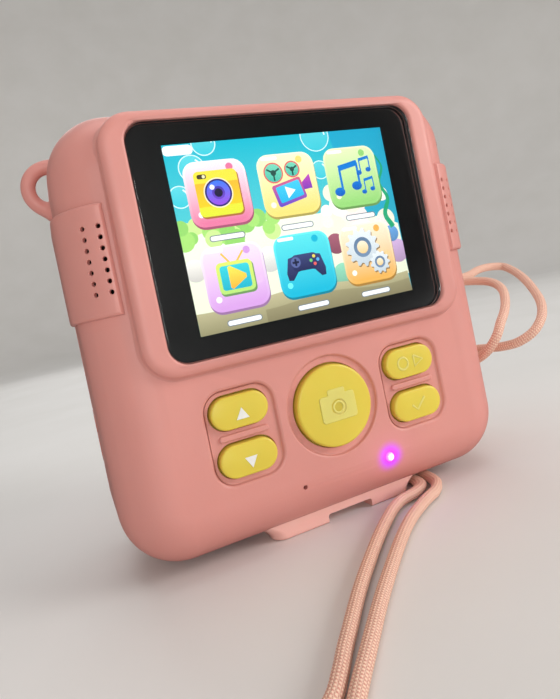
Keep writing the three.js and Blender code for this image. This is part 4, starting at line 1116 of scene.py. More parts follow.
def note_icon(art, u, v):
    """Three plain beamed notes."""
    blue = (14, 124, 214)
    for left, top, size in ((-3.0, -2.4, 1.0), (2.2, -3.6, 0.55), (2.6, 0.9, 0.5)):
        a, b = u + left, v + top
        wide, tall = 4.4 * size, 5.4 * size
        art.stroke([(a, b + 0.5 * size), (a, b + tall)], 0.55 * size, blue)
        art.stroke([(a + wide, b - 0.5 * size), (a + wide, b + tall - 0.9 * size)], 0.55 * size, blue)
        art.stroke([(a - 0.2 * size, b + 0.4 * size), (a + wide + 0.2 * size, b - 0.5 * size)], 1.2 * size,
                   blue)
        art.oval(a - 0.8 * size, b + tall, 0.95 * size, blue, (20, 90, 190), 1.3)
        art.oval(a + wide - 0.8 * size, b + tall - 0.9 * size, 0.95 * size, blue, (20, 90, 190), 1.3)


def play_icon(art, u, v):
    """A small set with a play mark."""
    art.stroke([(u - 2.2, v - 4.9), (u - 0.8, v - 3.0)], 0.4, (246, 196, 80))
    art.stroke([(u + 2.4, v - 4.9), (u + 0.8, v - 3.0)], 0.4, (246, 196, 80))
    art.tile(u + 0.2, v + 0.4, 7.6, 6.3, 1.0, (110, 150, 90))
    art.tile(u, v, 7.5, 6.2, 1.0, (226, 240, 110), (180, 226, 120))
    art.tile(u, v, 6.1, 4.8, 0.6, (60, 210, 220), (30, 176, 200))
    art.shape([(u - 1.4, v - 2.1), (u - 0.9, v - 2.3), (u + 2.2, v - 0.3), (u + 2.2, v + 0.4),
               (u - 0.9, v + 2.3),
               (u - 1.4, v + 2.0)], (255, 232, 90), (246, 176, 60))


def pad_icon(art, u, v):
    dark, deep = (62, 70, 120), (38, 42, 86)
    for side in (-1, 1):
        art.shape([(u + side * 2.0, v - 1.9), (u + side * 3.7, v - 1.6), (u + side * 4.5, v + 1.4),
                   (u + side * 4.3, v + 2.9),
                   (u + side * 3.3, v + 3.0), (u + side * 1.9, v + 1.4), (u + side * 0.6, v + 1.2)], dark,
                   deep)
    art.tile(u, v - 0.4, 6.2, 3.4, 1.2, dark, deep)
    art.oval(u - 2.1, v - 0.6, 1.1, (92, 104, 160))
    art.tile(u - 2.1, v - 0.6, 1.5, 0.45, 0.1, (30, 34, 64))
    art.tile(u - 2.1, v - 0.6, 0.45, 1.5, 0.1, (30, 34, 64))
    for du, dv, tint in ((0, -0.8, (240, 214, 90)), (0.8, 0, (90, 176, 240)), (0, 0.8, (236, 96, 96)),
                         (-0.8, 0, (110, 206, 120))):
        art.oval(u + 2.2 + du, v - 0.5 + dv, 0.36, tint)


def cog(art, u, v, radius, teeth):
    ring = []
    for k in range(teeth * 4):
        turn = 2 * math.pi * k / (teeth * 4)
        reach = radius if k % 4 < 2 else radius * 0.82
        ring.append((u + reach * math.cos(turn), v + reach * math.sin(turn)))
    art.shape([(a + 0.15, b + 0.3) for a, b in ring], (150, 122, 84))
    art.shape(ring, (236, 242, 246), (196, 208, 216))
    art.oval(u, v, radius * 0.52, (96, 124, 156), (120, 146, 176))
    art.oval(u, v, radius * 0.33, (250, 238, 214), (246, 206, 140))


def cogs_icon(art, u, v):
    cog(art, u - 1.1, v - 1.3, 4.2, 13)
    cog(art, u + 2.5, v + 2.5, 2.5, 11)


def screen_picture():
    art = Picture()
    sea_scene(art)
    icons = [[camera_icon, film_icon, note_icon], [play_icon, pad_icon, cogs_icon]]
    for row, v in enumerate(TILE_ROWS):
        for column, u in enumerate(TILE_COLUMNS):
            tile_plate(art, u, v, TILE_TINTS[row][column])
            icons[row][column](art, u, v)
            art.tile(u, v + LABEL_DROP, 7.4, 1.25, 0.6, (120, 130, 140))
            art.tile(u, v + LABEL_DROP, 7.0, 0.9, 0.42, (250, 252, 252))
    return settle(paint(art.finish(), PICTURE), "screen_picture")


# ---------------------------------------------------------------- speaker grips and foot
GRIP_LOW, GRIP_HIGH = box_mm("right_speaker_grip")
GRIP_THICK = 1.0
GRIP_EASE = 0.7
HOLE_COLUMNS = (38.9, 41.6)
HOLE_PITCH = 2.02
HOLE_ROWS = 7


def wrap_path(steps=70):
    """Points and outward directions along the wrap: off the front face, round the roll, along the side."""
    centre_x, centre_y = HALF_WIDTH - EDGE, FRONT + EDGE
    start = math.degrees(math.asin((GRIP_LOW.x - centre_x) / EDGE))
    arc_length = math.radians(90 - start) * EDGE
    total = arc_length + GRIP_HIGH.y - centre_y
    for k in range(steps + 1):
        run = total * k / steps
        if run < arc_length:
            turn = math.radians(start) + run / EDGE
            way = Vector((math.sin(turn), -math.cos(turn), 0))
            yield run, total, Vector((centre_x, centre_y, 0)) + way * EDGE, way
        else:
            yield run, total, Vector((HALF_WIDTH, centre_y + run - arc_length, 0)), Vector((1, 0, 0))


def grip_section(base, way, z_low, z_high, top):
    """One cross-section of the wrap, its outer corners rounded."""
    ease = min(GRIP_EASE, top - 0.1)
    ring = [base + way * 0.06 + Vector((0, 0, z_low)), base + way * (top - ease) + Vector((0, 0, z_low))]
    for a in angles(4)[1:]:
        ring.append(base + way * (top - ease * (1 - math.sin(a)))
                    + Vector((0, 0, z_low + ease * (1 - math.cos(a)))))
    for a in angles(4, 90, 0):
        ring.append(base + way * (top - ease * (1 - math.sin(a)))
                    + Vector((0, 0, z_high - ease * (1 - math.cos(a)))))
    ring.append(base + way * 0.06 + Vector((0, 0, z_high)))
    return ring


def speaker_grip(side):
    rings = []
    corner = 3.0
    for run, total, base, way in wrap_path():
        left = total - run
        narrow = corner - math.sqrt(max(corner ** 2 - max(corner - left, 0) ** 2, 0)) if left < corner else 0
        near_end = min(run, left)
        top = GRIP_THICK if near_end > GRIP_EASE else (
            GRIP_THICK - GRIP_EASE + math.sqrt(max(GRIP_EASE ** 2 - (GRIP_EASE - near_end) ** 2, 0)))
        rings.append(grip_section(base, way, GRIP_LOW.z + narrow, GRIP_HIGH.z - narrow, top))
    grip = loft("grip", rings)
    holes = []
    centre = Vector((HALF_WIDTH - EDGE, FRONT + EDGE, 0))
    for x in HOLE_COLUMNS:
        reach = EDGE + GRIP_THICK
        way = Vector((x - centre.x, -math.sqrt(reach ** 2 - (x - centre.x) ** 2), 0)) / reach
        for row in range(HOLE_ROWS):
            spot = centre + Vector((0, 0, GRIP_LOW.z + 4.4 + row * HOLE_PITCH))
            hole = rod("hole", 0.45, spot + way * (reach - 3), spot + way * (reach + 1), 20)
            rim = rod("rim", 0.45, spot + way * (reach - 0.12), spot + way * (reach + 0.3), 20, 0, 0.86)
            holes.append(combine(hole, [rim], "UNION"))
    combine(grip, holes)
    if side < 0:
        grip.data.transform(Matrix.Scale(-1, 4, (1, 0, 0)))
        grip.data.flip_normals()
    name = "right_grip" if side > 0 else "left_grip"
    stands_for = "right_speaker_grip" if side > 0 else "left_speaker_grip"
    return settle(paint(grip, PINK), name, "root", [stands_for])


FOOT_EASE = 0.7
FOOT_CORNER = 3
FOOT_TAPER = 1.0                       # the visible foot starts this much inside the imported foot's ends
FOOT_FLARE = [(1.1, 0.15), (1.5, 0.4), (1.9, 0.75), (2.3, 1.2), (2.7, 1.75), (3.1, 2.3), (3.5, 2.9),
              (8.0, 2.9)]
NOTCH = (5.5, 2.0)                     # half its width, and its height above the table


def base_foot():
    """The strip under the case: eased edges, ends that flare into the case, a notch in its front edge."""
    low, high = box_mm("base_foot")
    half_w, half_d = (high.x - low.x) / 2 - FOOT_TAPER, (high.y - low.y) / 2
    middle_x = (high.x + low.x) / 2
    rings = []
    for z, inset in quarter_round(FOOT_EASE, 5, 90, 0):
        flat = ring_xz(0, half_w - inset, half_d - inset, FOOT_CORNER - inset, (middle_x, 0), 10)
        rings.append([Vector((x, y, z)) for x, _, y in flat])
    for z, spread in FOOT_FLARE:
        flat = ring_xz(0, half_w + spread, half_d, FOOT_CORNER, (middle_x, 0), 10)
        rings.append([Vector((x, y, z)) for x, _, y in flat])
    foot = loft("foot", rings)
    notch = slab("notch", NOTCH[0], NOTCH[1], 0.6, (middle_x + 1, 0), [(low.y - 1, 0), (low.y + 5, 0)], 6)
    combine(foot, [case_form("case_space", 0.04), notch])
    # The foot takes the paler pink, painted light for its lit front face.
    return settle(paint(foot, PINK_FOOT_PAINTED_LIT), "foot_strip", "root", ["base_foot"])


# ---------------------------------------------------------------- keys
def dome(front, ease, crown, half):
    """(y, inset) of a key's top: a rounded rim, then a shallow crown up to the front."""
    rim = front + crown
    stations = [(rim + depth, inset) for depth, inset in quarter_round(ease, 5)]
    for t in (0.3, 0.55, 0.78, 0.95):
        stations.append((rim - crown * (1 - (1 - t) ** 2), ease + (half - ease) * t))
    return stations


def key_cap(name, middle, half_w, half_h):
    low, high = box_mm(name)
    place = (middle.x, middle.z)
    wide, tall = half_w + KEY_FLANGE, half_h + KEY_FLANGE
    flange = [(KEY_BACK, 0), (KEY_FLANGE_FRONT + 0.1, 0), (KEY_FLANGE_FRONT, 0.1)]
    base = slab("flange", wide, tall, tall - 0.01, place, flange)
    profile = [(-17.8, 0)] + dome(low.y, 0.5, 0.22, half_h)
    cap = slab("cap", half_w, half_h, half_h - 0.01, place, profile, 16)
    stem = rod("stem", 1.6, (middle.x, -17.9, middle.z), (middle.x, high.y, middle.z), 32, 0.1)
    return combine(cap, [base, stem], "UNION")


def arrow(middle, way, front):
    """The raised white triangle of a key, pointing up (1) or down (-1)."""
    wide, foot, tip = 1.35, middle.z - way * 1.0, middle.z + way * 1.3
    outline = [(middle.x - wide, foot), (middle.x + wide, foot), (middle.x, tip)]
    if way < 0:
        outline.reverse()
    return paint(prism("arrow", outline, front - 0.02, front + 0.6, 0.08), WHITE_MARK)


def raised_bar(points, width, front):
    """A low raised line through (x, z) points, its ends rounded."""
    left, right = [], []
    for i, (x, z) in enumerate(points):
        a, b = points[max(i - 1, 0)], points[min(i + 1, len(points) - 1)]
        dx, dz = b[0] - a[0], b[1] - a[1]
        reach = math.hypot(dx, dz)
        left.append((x - dz / reach * width / 2, z + dx / reach * width / 2))
        right.append((x + dz / reach * width / 2, z - dx / reach * width / 2))
    verts, faces = [], []
    for y in (front, front + 0.5):
        verts += [(x, y, z) for x, z in left] + [(x, y, z) for x, z in right]
    count = len(points)
    back = 2 * count
    for i in range(count - 1):
        faces += [(i, i + 1, count + i + 1, count + i),
                  (back + i, back + count + i, back + count + i + 1, back + i + 1),
                  (i, back + i, back + i + 1, i + 1),
                  (count + i, count + i + 1, back + count + i + 1, back + count + i)]
    faces += [(0, count, back + count, back),
              (count - 1, back + count - 1, back + 2 * count - 1, 2 * count - 1)]
    bar = face_outward(make_object("bar", verts, faces))
    return paint(soften(bar, 0.08, 2), PALE_YELLOW)


def tick_mark(middle, front):
    points = [(middle.x - 1.7, middle.z + 0.1), (middle.x - 0.5, middle.z - 1.1),
              (middle.x + 1.8, middle.z + 1.3)]
    return [raised_bar(points, 0.5, front - 0.06)]


def mode_mark(middle, front):
    """A round lens and a play bar, for switching between stills and film."""
    left, right = middle.x - 2.0, middle.x + 1.9
    hoop = [(left + 1.3 * math.cos(a), middle.z + 1.3 * math.sin(a)) for a in angles(28, 0, 360)]
    side = [(right - 1.0, middle.z + 1.2), (right + 1.3, middle.z), (right - 1.0, middle.z - 1.2),
            (right - 1.0, middle.z + 1.2)]
    return [raised_bar(hoop, 0.45, front - 0.06), raised_bar(side, 0.45, front - 0.06)]


def key_marks(key, middle, front):
    """The raised marks on a key: arrows, a lens and play mark, or a tick."""
    spot = Vector((middle.x + 0.2, 0, middle.z - 0.6))
    if key == "mode_button":
        return mode_mark(middle, front)
    if key == "ok_button":
        return tick_mark(middle, front)
    return [arrow(spot, 1 if key == "up_button" else -1, front)]


def pad_keys():
    for key in KEYS:
        middle, half_w, half_h = key_size(key)
        cap = paint(key_cap(key, middle, half_w, half_h), YELLOW)
        marks = key_marks(key, middle, box_mm(key)[0].y)
        settle(merge(cap, marks), key.replace("button", "key"), key, [key])


def shutter_key():
    low, high = box_mm("shutter_button")
    front = low.y
    flange = SHUTTER_RADIUS + KEY_FLANGE
    profile = [(0, high.y), (1.6, high.y), (1.6, KEY_BACK), (flange, KEY_BACK),
               (flange, KEY_FLANGE_FRONT), (SHUTTER_RADIUS, KEY_FLANGE_FRONT)]
    profile += [(SHUTTER_RADIUS - inset, y) for y, inset in dome(front, 0.6, 0.25, SHUTTER_RADIUS)]
    profile.append((0, front))
    cap = lathe("cap", profile, (SHUTTER.x, SHUTTER.z), 128)
    x, z = SHUTTER.x + 0.5, SHUTTER.z - 0.4
    top = front - 0.12
    eased = [(front + 1.0, 0), (top + 0.12, 0), (top + 0.04, 0.05), (top, 0.14)]
    body = slab("body", 4.1, 2.75, 0.7, (x, z), eased, 6)
    hump = slab("hump", 2.0, 1.2, 0.4, (x, z + 2.7), eased, 6)
    window = slab("lens_seat", 1.75, 1.75, 1.74, (x, z), [(-25, 0), (top + 0.1, 0), (top + 0.13, 0.1)], 12)
    combine(body, [hump], "UNION")
    combine(body, [window])
    ring = lathe("ring", [(0.95, front + 0.5), (1.35, front + 0.5), (1.35, top + 0.05), (1.25, top),
                          (1.05, top), (0.95, top + 0.05)],
                 (x, z), 48)
    marks = [paint(body, PALE_YELLOW), paint(ring, PALE_YELLOW)]
    return settle(merge(paint(cap, YELLOW), marks), "shutter_key", "shutter_button", ["shutter_button"])


def power_key():
    low, high = box_mm("power_button")
    out = -high.x
    profile = [(0, -low.x), (4, -low.x), (4, -low.x - 0.7), (POWER_RADIUS, -low.x - 0.7)]
    profile += [(POWER_RADIUS - inset, y) for y, inset in dome(out, 0.35, 0.12, POWER_RADIUS)] + [(0, out)]
    cap = lathe("cap", profile, (POWER.y, POWER.z), 72)
    mark = lathe("mark", [(0.95, out + 0.3), (1.3, out + 0.3), (1.3, out), (1.22, out - 0.06),
                          (1.03, out - 0.06), (0.95, out)],
                 (POWER.y, POWER.z), 48)
    combine(cap, [mark], "UNION")
    return settle(paint(face_side(cap, 1), YELLOW), "power_key", "power_button", ["power_button"])


def status_light():
    low, high = box_mm("status_led")
    front = low.y
    profile = [(0, high.y), (1.7, high.y), (1.7, -17.2), (1.0, -17.2), (1.0, front + 0.7)]
    profile += [(1.0 * math.cos(a), front + 0.7 - 0.7 * math.sin(a)) for a in angles(8)[1:-1]] + [(0, front)]
    tip = lathe("tip", profile, (LED.x, LED.z), 48)
    return settle(paint(tip, LED_TIP), "status_light", "root", ["status_led"])


# ---------------------------------------------------------------- lens side
def lens_tube(bore):
    """The barrel, with stepped baffles inside."""
    barrel_low, barrel_high = box_mm("lens_barrel")
    outer = LENS_RADIUS
    steps = [(bore - 0.45 * k, barrel_high.y - 0.9 * k) for k in range(1, 7)]
    profile = [(0, barrel_low.y), (9.4, barrel_low.y), (9.4, 19), (outer, 19.6), (outer, barrel_high.y),
               (bore, barrel_high.y)]
    for (radius, y), following in zip(steps, steps[1:] + [(4.2, 17.2)]):
        profile += [(radius + 0.3, y), (radius, y)] if radius > following[0] else [(radius, y)]
    profile += [(4.2, 17.2), (4.2, 12), (0, 12)]
    barrel = lathe("barrel", profile, (LENS.x, LENS.z), 128)
    return settle(paint(barrel, BLACK_PLASTIC), "lens_tube", "root", ["lens_barrel"], 20)


def lens_trim_ring(bore):
    """The silver ring, with a fine groove round its side."""
    outer = LENS_RADIUS
    back, front = box_mm("lens_ring")[0].y, LENS_FRONT
    profile = [(bore + 0.2, back), (outer, back), (outer, front - 2.2), (outer - 0.15, front - 2.1),
               (outer - 0.15, front - 1.9),
               (outer, front - 1.8), (outer, front - 0.9)]
    profile += [(outer - 0.6 * (1 - math.cos(a)), front - 0.6 * (1 - math.sin(a))) for a in angles(6)]
    profile += [(outer - 0.9, front - 0.05), (bore + 0.5, front - 0.9), (bore + 0.2, front - 1.2)]
    ring = lathe("ring", profile, (LENS.x, LENS.z), 160)
    return settle(paint(ring, SILVER), "lens_trim_ring", "root", ["lens_ring"], 24)


def lens_cover():
    low, high = box_mm("lens_cover_glass")
    radius, rise = high.x, high.y - low.y
    profile = [(0, low.y), (radius, low.y), (radius, low.y + 0.8)]
    profile += [(radius * math.cos(a), low.y + 0.8 + (rise - 0.8) * math.sin(a))
                for a in angles(12)[1:-1]] + [(0, high.y)]
    glass = lathe("glass", profile, (LENS.x, LENS.z), 128)
    return settle(paint(glass, LENS_COVER), "lens_cover", "root", ["lens_cover_glass"], 50)


def lens_element():
    low, high = box_mm("imaging_lens")
    radius = high.x
    profile = [(0, low.y), (radius, low.y), (radius, high.y - 0.8), (radius - 0.3, high.y - 0.4),
               (radius - 0.9, high.y)]
    profile += [(radius - 1.2, high.y - 0.25)]
    profile += [((radius - 1.2) * math.cos(a), high.y - 0.25 - 0.2 * math.sin(a)) for a in angles(6)[1:-1]]
    profile.append((0, high.y - 0.5))
    element = lathe("element", profile, (LENS.x, LENS.z), 96)
    return settle(paint(element, LENS_GLASS), "lens_element", "root", ["imaging_lens"], 40)


def lens_parts():
    bore = box_mm("lens_cover_glass")[1].x - 0.1
    lens_tube(bore)
    lens_trim_ring(bore)
    lens_cover()
    lens_element()


def flash_lens():
    """A ribbed diffuser: rings stand on the window like a small Fresnel lens."""
    low, high = box_mm("flash_window")
    radius = 3.6
    profile = [(0, low.y), (radius + 0.9, low.y), (radius + 0.9, low.y + 0.9), (radius, low.y + 0.9),
               (radius, high.y - 0.35),
               (radius - 0.15, high.y - 0.12)]
    for k in range(6):
        outer = radius - 0.3 - k * 0.55
        profile += [(outer, high.y - 0.02), (outer - 0.45, high.y - 0.16)]
    profile.append((0, high.y - 0.1))
    window = lathe("flash", profile, (FLASH.x, FLASH.z), 96)
    return settle(paint(window, DIFFUSER), "flash_diffuser", "root", ["flash_window"], 20)


def case_screw(number, place):
    """A pan-head cross-slot screw with its thread."""
    low, high = box_mm(f"case_screw_{number}")
    head_back = high.y - 1.9
    profile = [(0, low.y), (0.5, low.y), (0.75, low.y + 0.8)]
    y = low.y + 0.9
    while y < head_back - 0.8:
        profile += [(0.82, y), (1.1, y + 0.3), (0.82, y + 0.6)]
        y += 0.8
    profile += [(1.05, head_back), (2.5, head_back), (2.5, high.y - 0.7)]
    profile += [(2.5 * math.cos(a) ** 0.5, high.y - 0.7 + 0.7 * math.sin(a))
                for a in angles(6)[1:-1]] + [(0, high.y)]
    screw = lathe("screw", profile, (place.x, place.z), 40)
    slots = []
    for wide, tall in ((1.5, 0.28), (0.28, 1.5)):
        slots.append(block("slot", (place.x - wide, high.y - 1.1, place.z - tall),
                           (place.x + wide, high.y + 1, place.z + tall)))
    combine(screw, slots)
    return settle(paint(screw, STEEL), f"screw_{number}", "root", [f"case_screw_{number}"])


# ---------------------------------------------------------------- paper door and printer
def door():
    """The paper door: a curved slice of the case with hinge eyes and four grooves across its top."""
    skin = case_form("door", 0)
    reach = block("reach", (DOOR_LOW.x, DOOR_LOW.y, DOOR_EDGE), (DOOR_HIGH.x, BEYOND, ABOVE))
    combine(skin, [reach], "INTERSECT")
    combine(skin, [case_form("hollow", -WALL)])
    soften(skin, 0.3, 3, 40)
    combine(skin, [hinge_room(s) for s in FIXED_EYES])
    combine(skin, [hinge_eye(s) for s in DOOR_EYES], "UNION")
    grooves = []
    for k in range(4):
        y = DOOR_LOW.y + 2.2 + 1.1 * k
        grooves.append(rod("groove", 0.32, (-9, y, DOOR_HIGH.z + 0.12), (9, y, DOOR_HIGH.z + 0.12), 16, 0.2))
    combine(skin, grooves + [hinge_bore()])
    return settle(paint(skin, PINK), "door", "paper_door", ["paper_door"])


def tear_blade():
    low, high = box_mm("tear_bar")
    teeth = 40
    pitch = (high.x - low.x) / teeth
    outline = [(low.x, low.z), (high.x, low.z)]
    for k in range(teeth):
        outline += [(high.x - k * pitch, high.z - 0.7), (high.x - (k + 0.5) * pitch, high.z)]
    outline.append((low.x, high.z - 0.7))
    verts = [(x, y, z) for y in (low.y, high.y) for x, z in outline]
    count = len(outline)
    faces = [tuple(range(count)), tuple(range(2 * count - 1, count - 1, -1))]
    faces += [(i, i + count, (i + 1) % count + count, (i + 1) % count) for i in range(count)]
    blade = face_outward(make_object("blade", verts, faces))
    soften(blade, 0.05, 1)
    return settle(paint(blade, STEEL), "tear_blade", "paper_door", ["tear_bar"])


def along_x(node_name, pieces, segments=64):
    """A turned part whose axis runs along X; pieces lists (x, radius) stations."""
    centre = middle_mm(node_name)
    rings = []
    for x, radius in pieces:
        rings.append([Vector((x, centre.y + radius * math.cos(a), centre.z + radius * math.sin(a)))
                      for a in angles(segments, 0, 360)[:-1]])
    return loft(node_name + "_turned", rings)


def paper_roll():
    low, high = box_mm("paper_roll")
    radius = (high.z - low.z) / 2
    stations = [(low.x, radius - 0.2), (low.x + 0.2, radius), (high.x - 0.2, radius), (high.x, radius - 0.2)]
    roll = along_x("paper_roll", stations, 96)
    bore = along_x("paper_roll", [(low.x - 2, 5.1), (high.x + 2, 5.1)], 64)
    combine(roll, [bore])
    return settle(paint(roll, PAPER), "roll", "paper_roll", ["paper_roll"])


def spool():
    high = box_mm("roll_spool")[1]
    core = box_mm("paper_roll")[1].x
    half = [(high.x, 2.7), (high.x - 0.3, 3.0), (core, 3.0), (core, 4.8), (core - 0.2, 5.0)]
    turned = along_x("roll_spool", [(-x, r) for x, r in half] + [(x, r) for x, r in reversed(half)])
    sockets = [along_x("roll_spool", [(side * (high.x - 1.5), 1.4), (side * (high.x + 1), 1.4)], 6)
               for side in (-1, 1)]
    combine(turned, sockets)
    return settle(paint(turned, NYLON), "spool", "paper_roll", ["roll_spool"])


def platen():
    low, high = box_mm("platen_roller")
    rubber_end = box_mm("print_head")[1].x
    turned = along_x("platen_gear", [(-rubber_end, 2.8), (0.2 - rubber_end, 3.0), (rubber_end - 0.2, 3.0),
                                     (rubber_end, 2.8)], 72)
    shaft = along_x("platen_gear", [(low.x, 1.0), (low.x + 0.2, 1.2), (high.x - 0.2, 1.2), (high.x, 1.0)], 40)
    turned = paint(turned, DARK_RUBBER)
    core = along_x("platen_gear", [(-40, 1.25), (40, 1.25)], 40)
    combine(turned, [core])
    return settle(merge(turned, [paint(shaft, STEEL)]), "platen", "platen", ["platen_roller"])


def spur_gear(node_name, teeth, body, material, bore):
    """A spur gear with rounded teeth, a rim, a web and a hub."""
    low, high = box_mm(node_name)
    centre = (low + high) / 2
    face_x = box_mm("platen_gear")[0].x
    outer = 2.0 if node_name == "motor_pinion" else (high.z - low.z) / 2
    root = outer - math.pi * outer / teeth * 0.7
    ring_count = teeth * 8
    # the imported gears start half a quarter-tooth past +Y
    start = 0.5 / (teeth * 4) * 2 * math.pi

    def ring(x, ease):
        points = []
        for k in range(ring_count):
            phase = k / 8 % 1
            turn = start + 2 * math.pi * k / ring_count
            tip = 0.5 + 0.5 * math.cos(2 * math.pi * (phase - 0.125))
            share = min(1.0, max(0.0, (tip - 0.3) / 0.4))
            reach = root + (outer - ease - root) * share
            points.append(Vector((x, centre.y + reach * math.cos(turn), centre.z - reach * math.sin(turn))))
        return points

    wheel = loft("wheel", [ring(face_x, 0.12), ring(face_x + 0.12, 0), ring(high.x - 0.12, 0),
                           ring(high.x, 0.12)])
    if outer > 3:
        near, far = high.x - 0.3, high.x + 1
        dish = rod("dish", root - 0.8, (near, centre.y, centre.z), (far, centre.y, centre.z), 64)
        hub = rod("hub", bore + 0.9, (near - 1, centre.y, centre.z), (far + 1, centre.y, centre.z), 40)
        combine(wheel, [combine(dish, [hub])])
    if bore:
        near, far = face_x - 2, high.x + 2
        combine(wheel, [rod("bore", bore, (near, centre.y, centre.z), (far, centre.y, centre.z), 40)])
    else:
        shaft = rod("shaft", 0.8, (low.x, centre.y, centre.z), (high.x - 0.1, centre.y, centre.z), 32)
        combine(wheel, [shaft], "UNION")
    return settle(paint(wheel, material), node_name + "_wheel", body, [node_name])


def hinge_rod():
    low, high = box_mm("door_hinge_pin")
    pin = rod("pin", (high.z - low.z) / 2, (low.x, HINGE.y, HINGE.z), (high.x, HINGE.y, HINGE.z), 40, 0.15)
    return settle(paint(pin, STEEL), "hinge_rod", "root", ["door_hinge_pin"])


# ---------------------------------------------------------------- port cover, socket and card
def port_flap():
    """A soft flap with a finger lip and a moulded rib round its edge."""
    middle = (PORT_LOW + PORT_HIGH) / 2
    half_w, half_h = (PORT_HIGH.y - PORT_LOW.y) / 2, (PORT_HIGH.z - PORT_LOW.z) / 2
    front = PORT_LOW.x
    profile = [(PORT_HIGH.x, 0), (front + 0.3, 0)]
    profile += [(front + depth, inset) for depth, inset in quarter_round(0.3)[1:]]
    flap = slab("flap", half_w, half_h, 1.4, (-middle.y, middle.z), profile)
    dent = slab("dent", half_w - 1.2, half_h - 1.2, 0.8, (-middle.y, middle.z),
                pocket(front, front + 0.2, 0.1, 0.1))
    pad = slab("pad", 2.2, 0.8, 0.75, (-middle.y - half_w + 3.4, middle.z),
               [(front + 0.4, 0), (front + 0.1, 0), (front, 0.1)])
    combine(flap, [dent])
    combine(flap, [pad], "UNION")
    return settle(paint(face_side(flap, -1), PINK_RUBBER), "port_flap", "port_cover", ["port_cover"])


def charging_socket():
    low, high = box_mm("usb_socket")
    middle = (low + high) / 2
    half_w, half_h = (high.y - low.y) / 2, (high.z - low.z) / 2
    shell = slab("socket", half_w, half_h, half_w - 0.1, (-middle.y, middle.z),
                 [(low.x, 0.12), (low.x + 0.12, 0), (high.x, 0)])
    mouth = slab("mouth", half_w - 0.35, half_h - 0.35, half_w - 0.45, (-middle.y, middle.z),
                 [(-50, 0), (high.x - 1.5, 0)])
    combine(shell, [mouth])
    tongue = slab("tongue", 0.35, half_h - 1.2, 0.3, (-middle.y, middle.z),
                  [(low.x + 0.8, 0), (high.x - 1.2, 0)])
    return settle(face_side(merge(paint(shell, STEEL), [paint(tongue, BLACK_PLASTIC)]), -1),
                  "charging_socket", "root",
                  ["usb_socket"])


def card():
    """A small memory card with its finger ridge and contacts."""
    low, high = box_mm("memory_card")
    body = block("card", low, high)
    soften(body, 0.25, 3)
    nick = block("nick", (low.x + 5.5, low.y - 1, high.z - 0.7), (low.x + 8.5, high.y + 1, high.z + 1))
    grip = rod("grip", 0.25, (low.x + 0.9, high.y + 0.12, low.z + 1),
               (low.x + 0.9, high.y + 0.12, high.z - 1), 16)
    combine(body, [nick, grip])
    contacts = []
    for k in range(8):
        z = low.z + 1.1 + k * 1.15
        pad = block("pad", (high.x - 3.4, low.y - 0.004, z), (high.x - 0.6, low.y + 0.1, z + 0.75))
        contacts.append(paint(soften(pad, 0.04, 1), GOLD))
    return settle(merge(paint(body, BLACK_PLASTIC), contacts), "card", "memory_card", ["memory_card"])


# ---------------------------------------------------------------- cord and thread
CORD_RADIUS = 1.2
CORD_STEP = 0.15                       # four steps make one lay of the braid
CORD_STRANDS = 12                      # strands each way round the cord
CORD_SQUASH = 0.32                     # how much of its height it loses under the case
BRAID_DEPTH = 0.13                     # as a share of its radius


def centre_line(node_name):
    """The middle line of a packed tube: from one end, ring after ring of its skin."""
    work = bmesh.new()
    work.from_mesh(frame["nodes"][node_name].data)
    bmesh.ops.remove_doubles(work, verts=work.verts, dist=1e-6)
    caps = [v for v in work.verts if all(len(e.other_vert(v).link_edges) == 5 for e in v.link_edges)]
    ring, seen, line = [caps[0]], {caps[0]}, []
    while ring:
        following = []
        for vert in ring:
            for edge in vert.link_edges:
                other = edge.other_vert(vert)
                if other not in seen:
                    seen.add(other)
                    following.append(other)
        if len(following) > 1:
            line.append(sum((v.co for v in following), Vector()) / len(following) / MM)
        ring = following
    work.free()
    return line


def evenly(line, step):
    """A smooth curve through the line's points, sampled at even steps."""
    points = [line[0] * 2 - line[1]] + line + [line[-1] * 2 - line[-2]]
    dense = []
    for p0, p1, p2, p3 in zip(points, points[1:], points[2:], points[3:]):
        for k in range(24):
            t = k / 24
            dense.append(0.5 * (2 * p1 + (p2 - p0) * t + (2 * p0 - 5 * p1 + 4 * p2 - p3) * t * t
                                + (3 * p1 - p0 - 3 * p2 + p3) * t ** 3))
    dense.append(line[-1])
    even, travelled, due = [dense[0]], 0.0, step
    for a, b in zip(dense, dense[1:]):
        length = (b - a).length
        while length > 0 and travelled + length >= due:
            even.append(a.lerp(b, (due - travelled) / length))
            due += step
        travelled += length
    return even


def smoothstep(value, low, high):
    share = max(0, min(1, (value - low) / (high - low)))
    return share * share * (3 - 2 * share)


def under_case(point):
    """Height of the cord as a share of its width: it flattens where the case rests on it."""
    from_front = smoothstep(point.y, -20, -15)
    from_back = 1 - smoothstep(point.y, 20, 25)
    on_table = 1 - smoothstep(point.z, 1.8, 3.5)
    return 1 - CORD_SQUASH * from_front * from_back * on_table


def braid_height(around, along, strands):
    """Height of a plain braid, and its top strand's way, at a turn (0 to 1) and a distance in lays."""
    u, v = around * strands + along, -around * strands + along
    first = math.sqrt(abs(math.sin(math.pi * u))) + 0.55 * math.cos(math.pi * (v + math.floor(u)))
    second = math.sqrt(abs(math.sin(math.pi * v))) - 0.55 * math.cos(math.pi * (u + math.floor(v)))
    return (first, 1.0) if first > second else (second, 0.0)


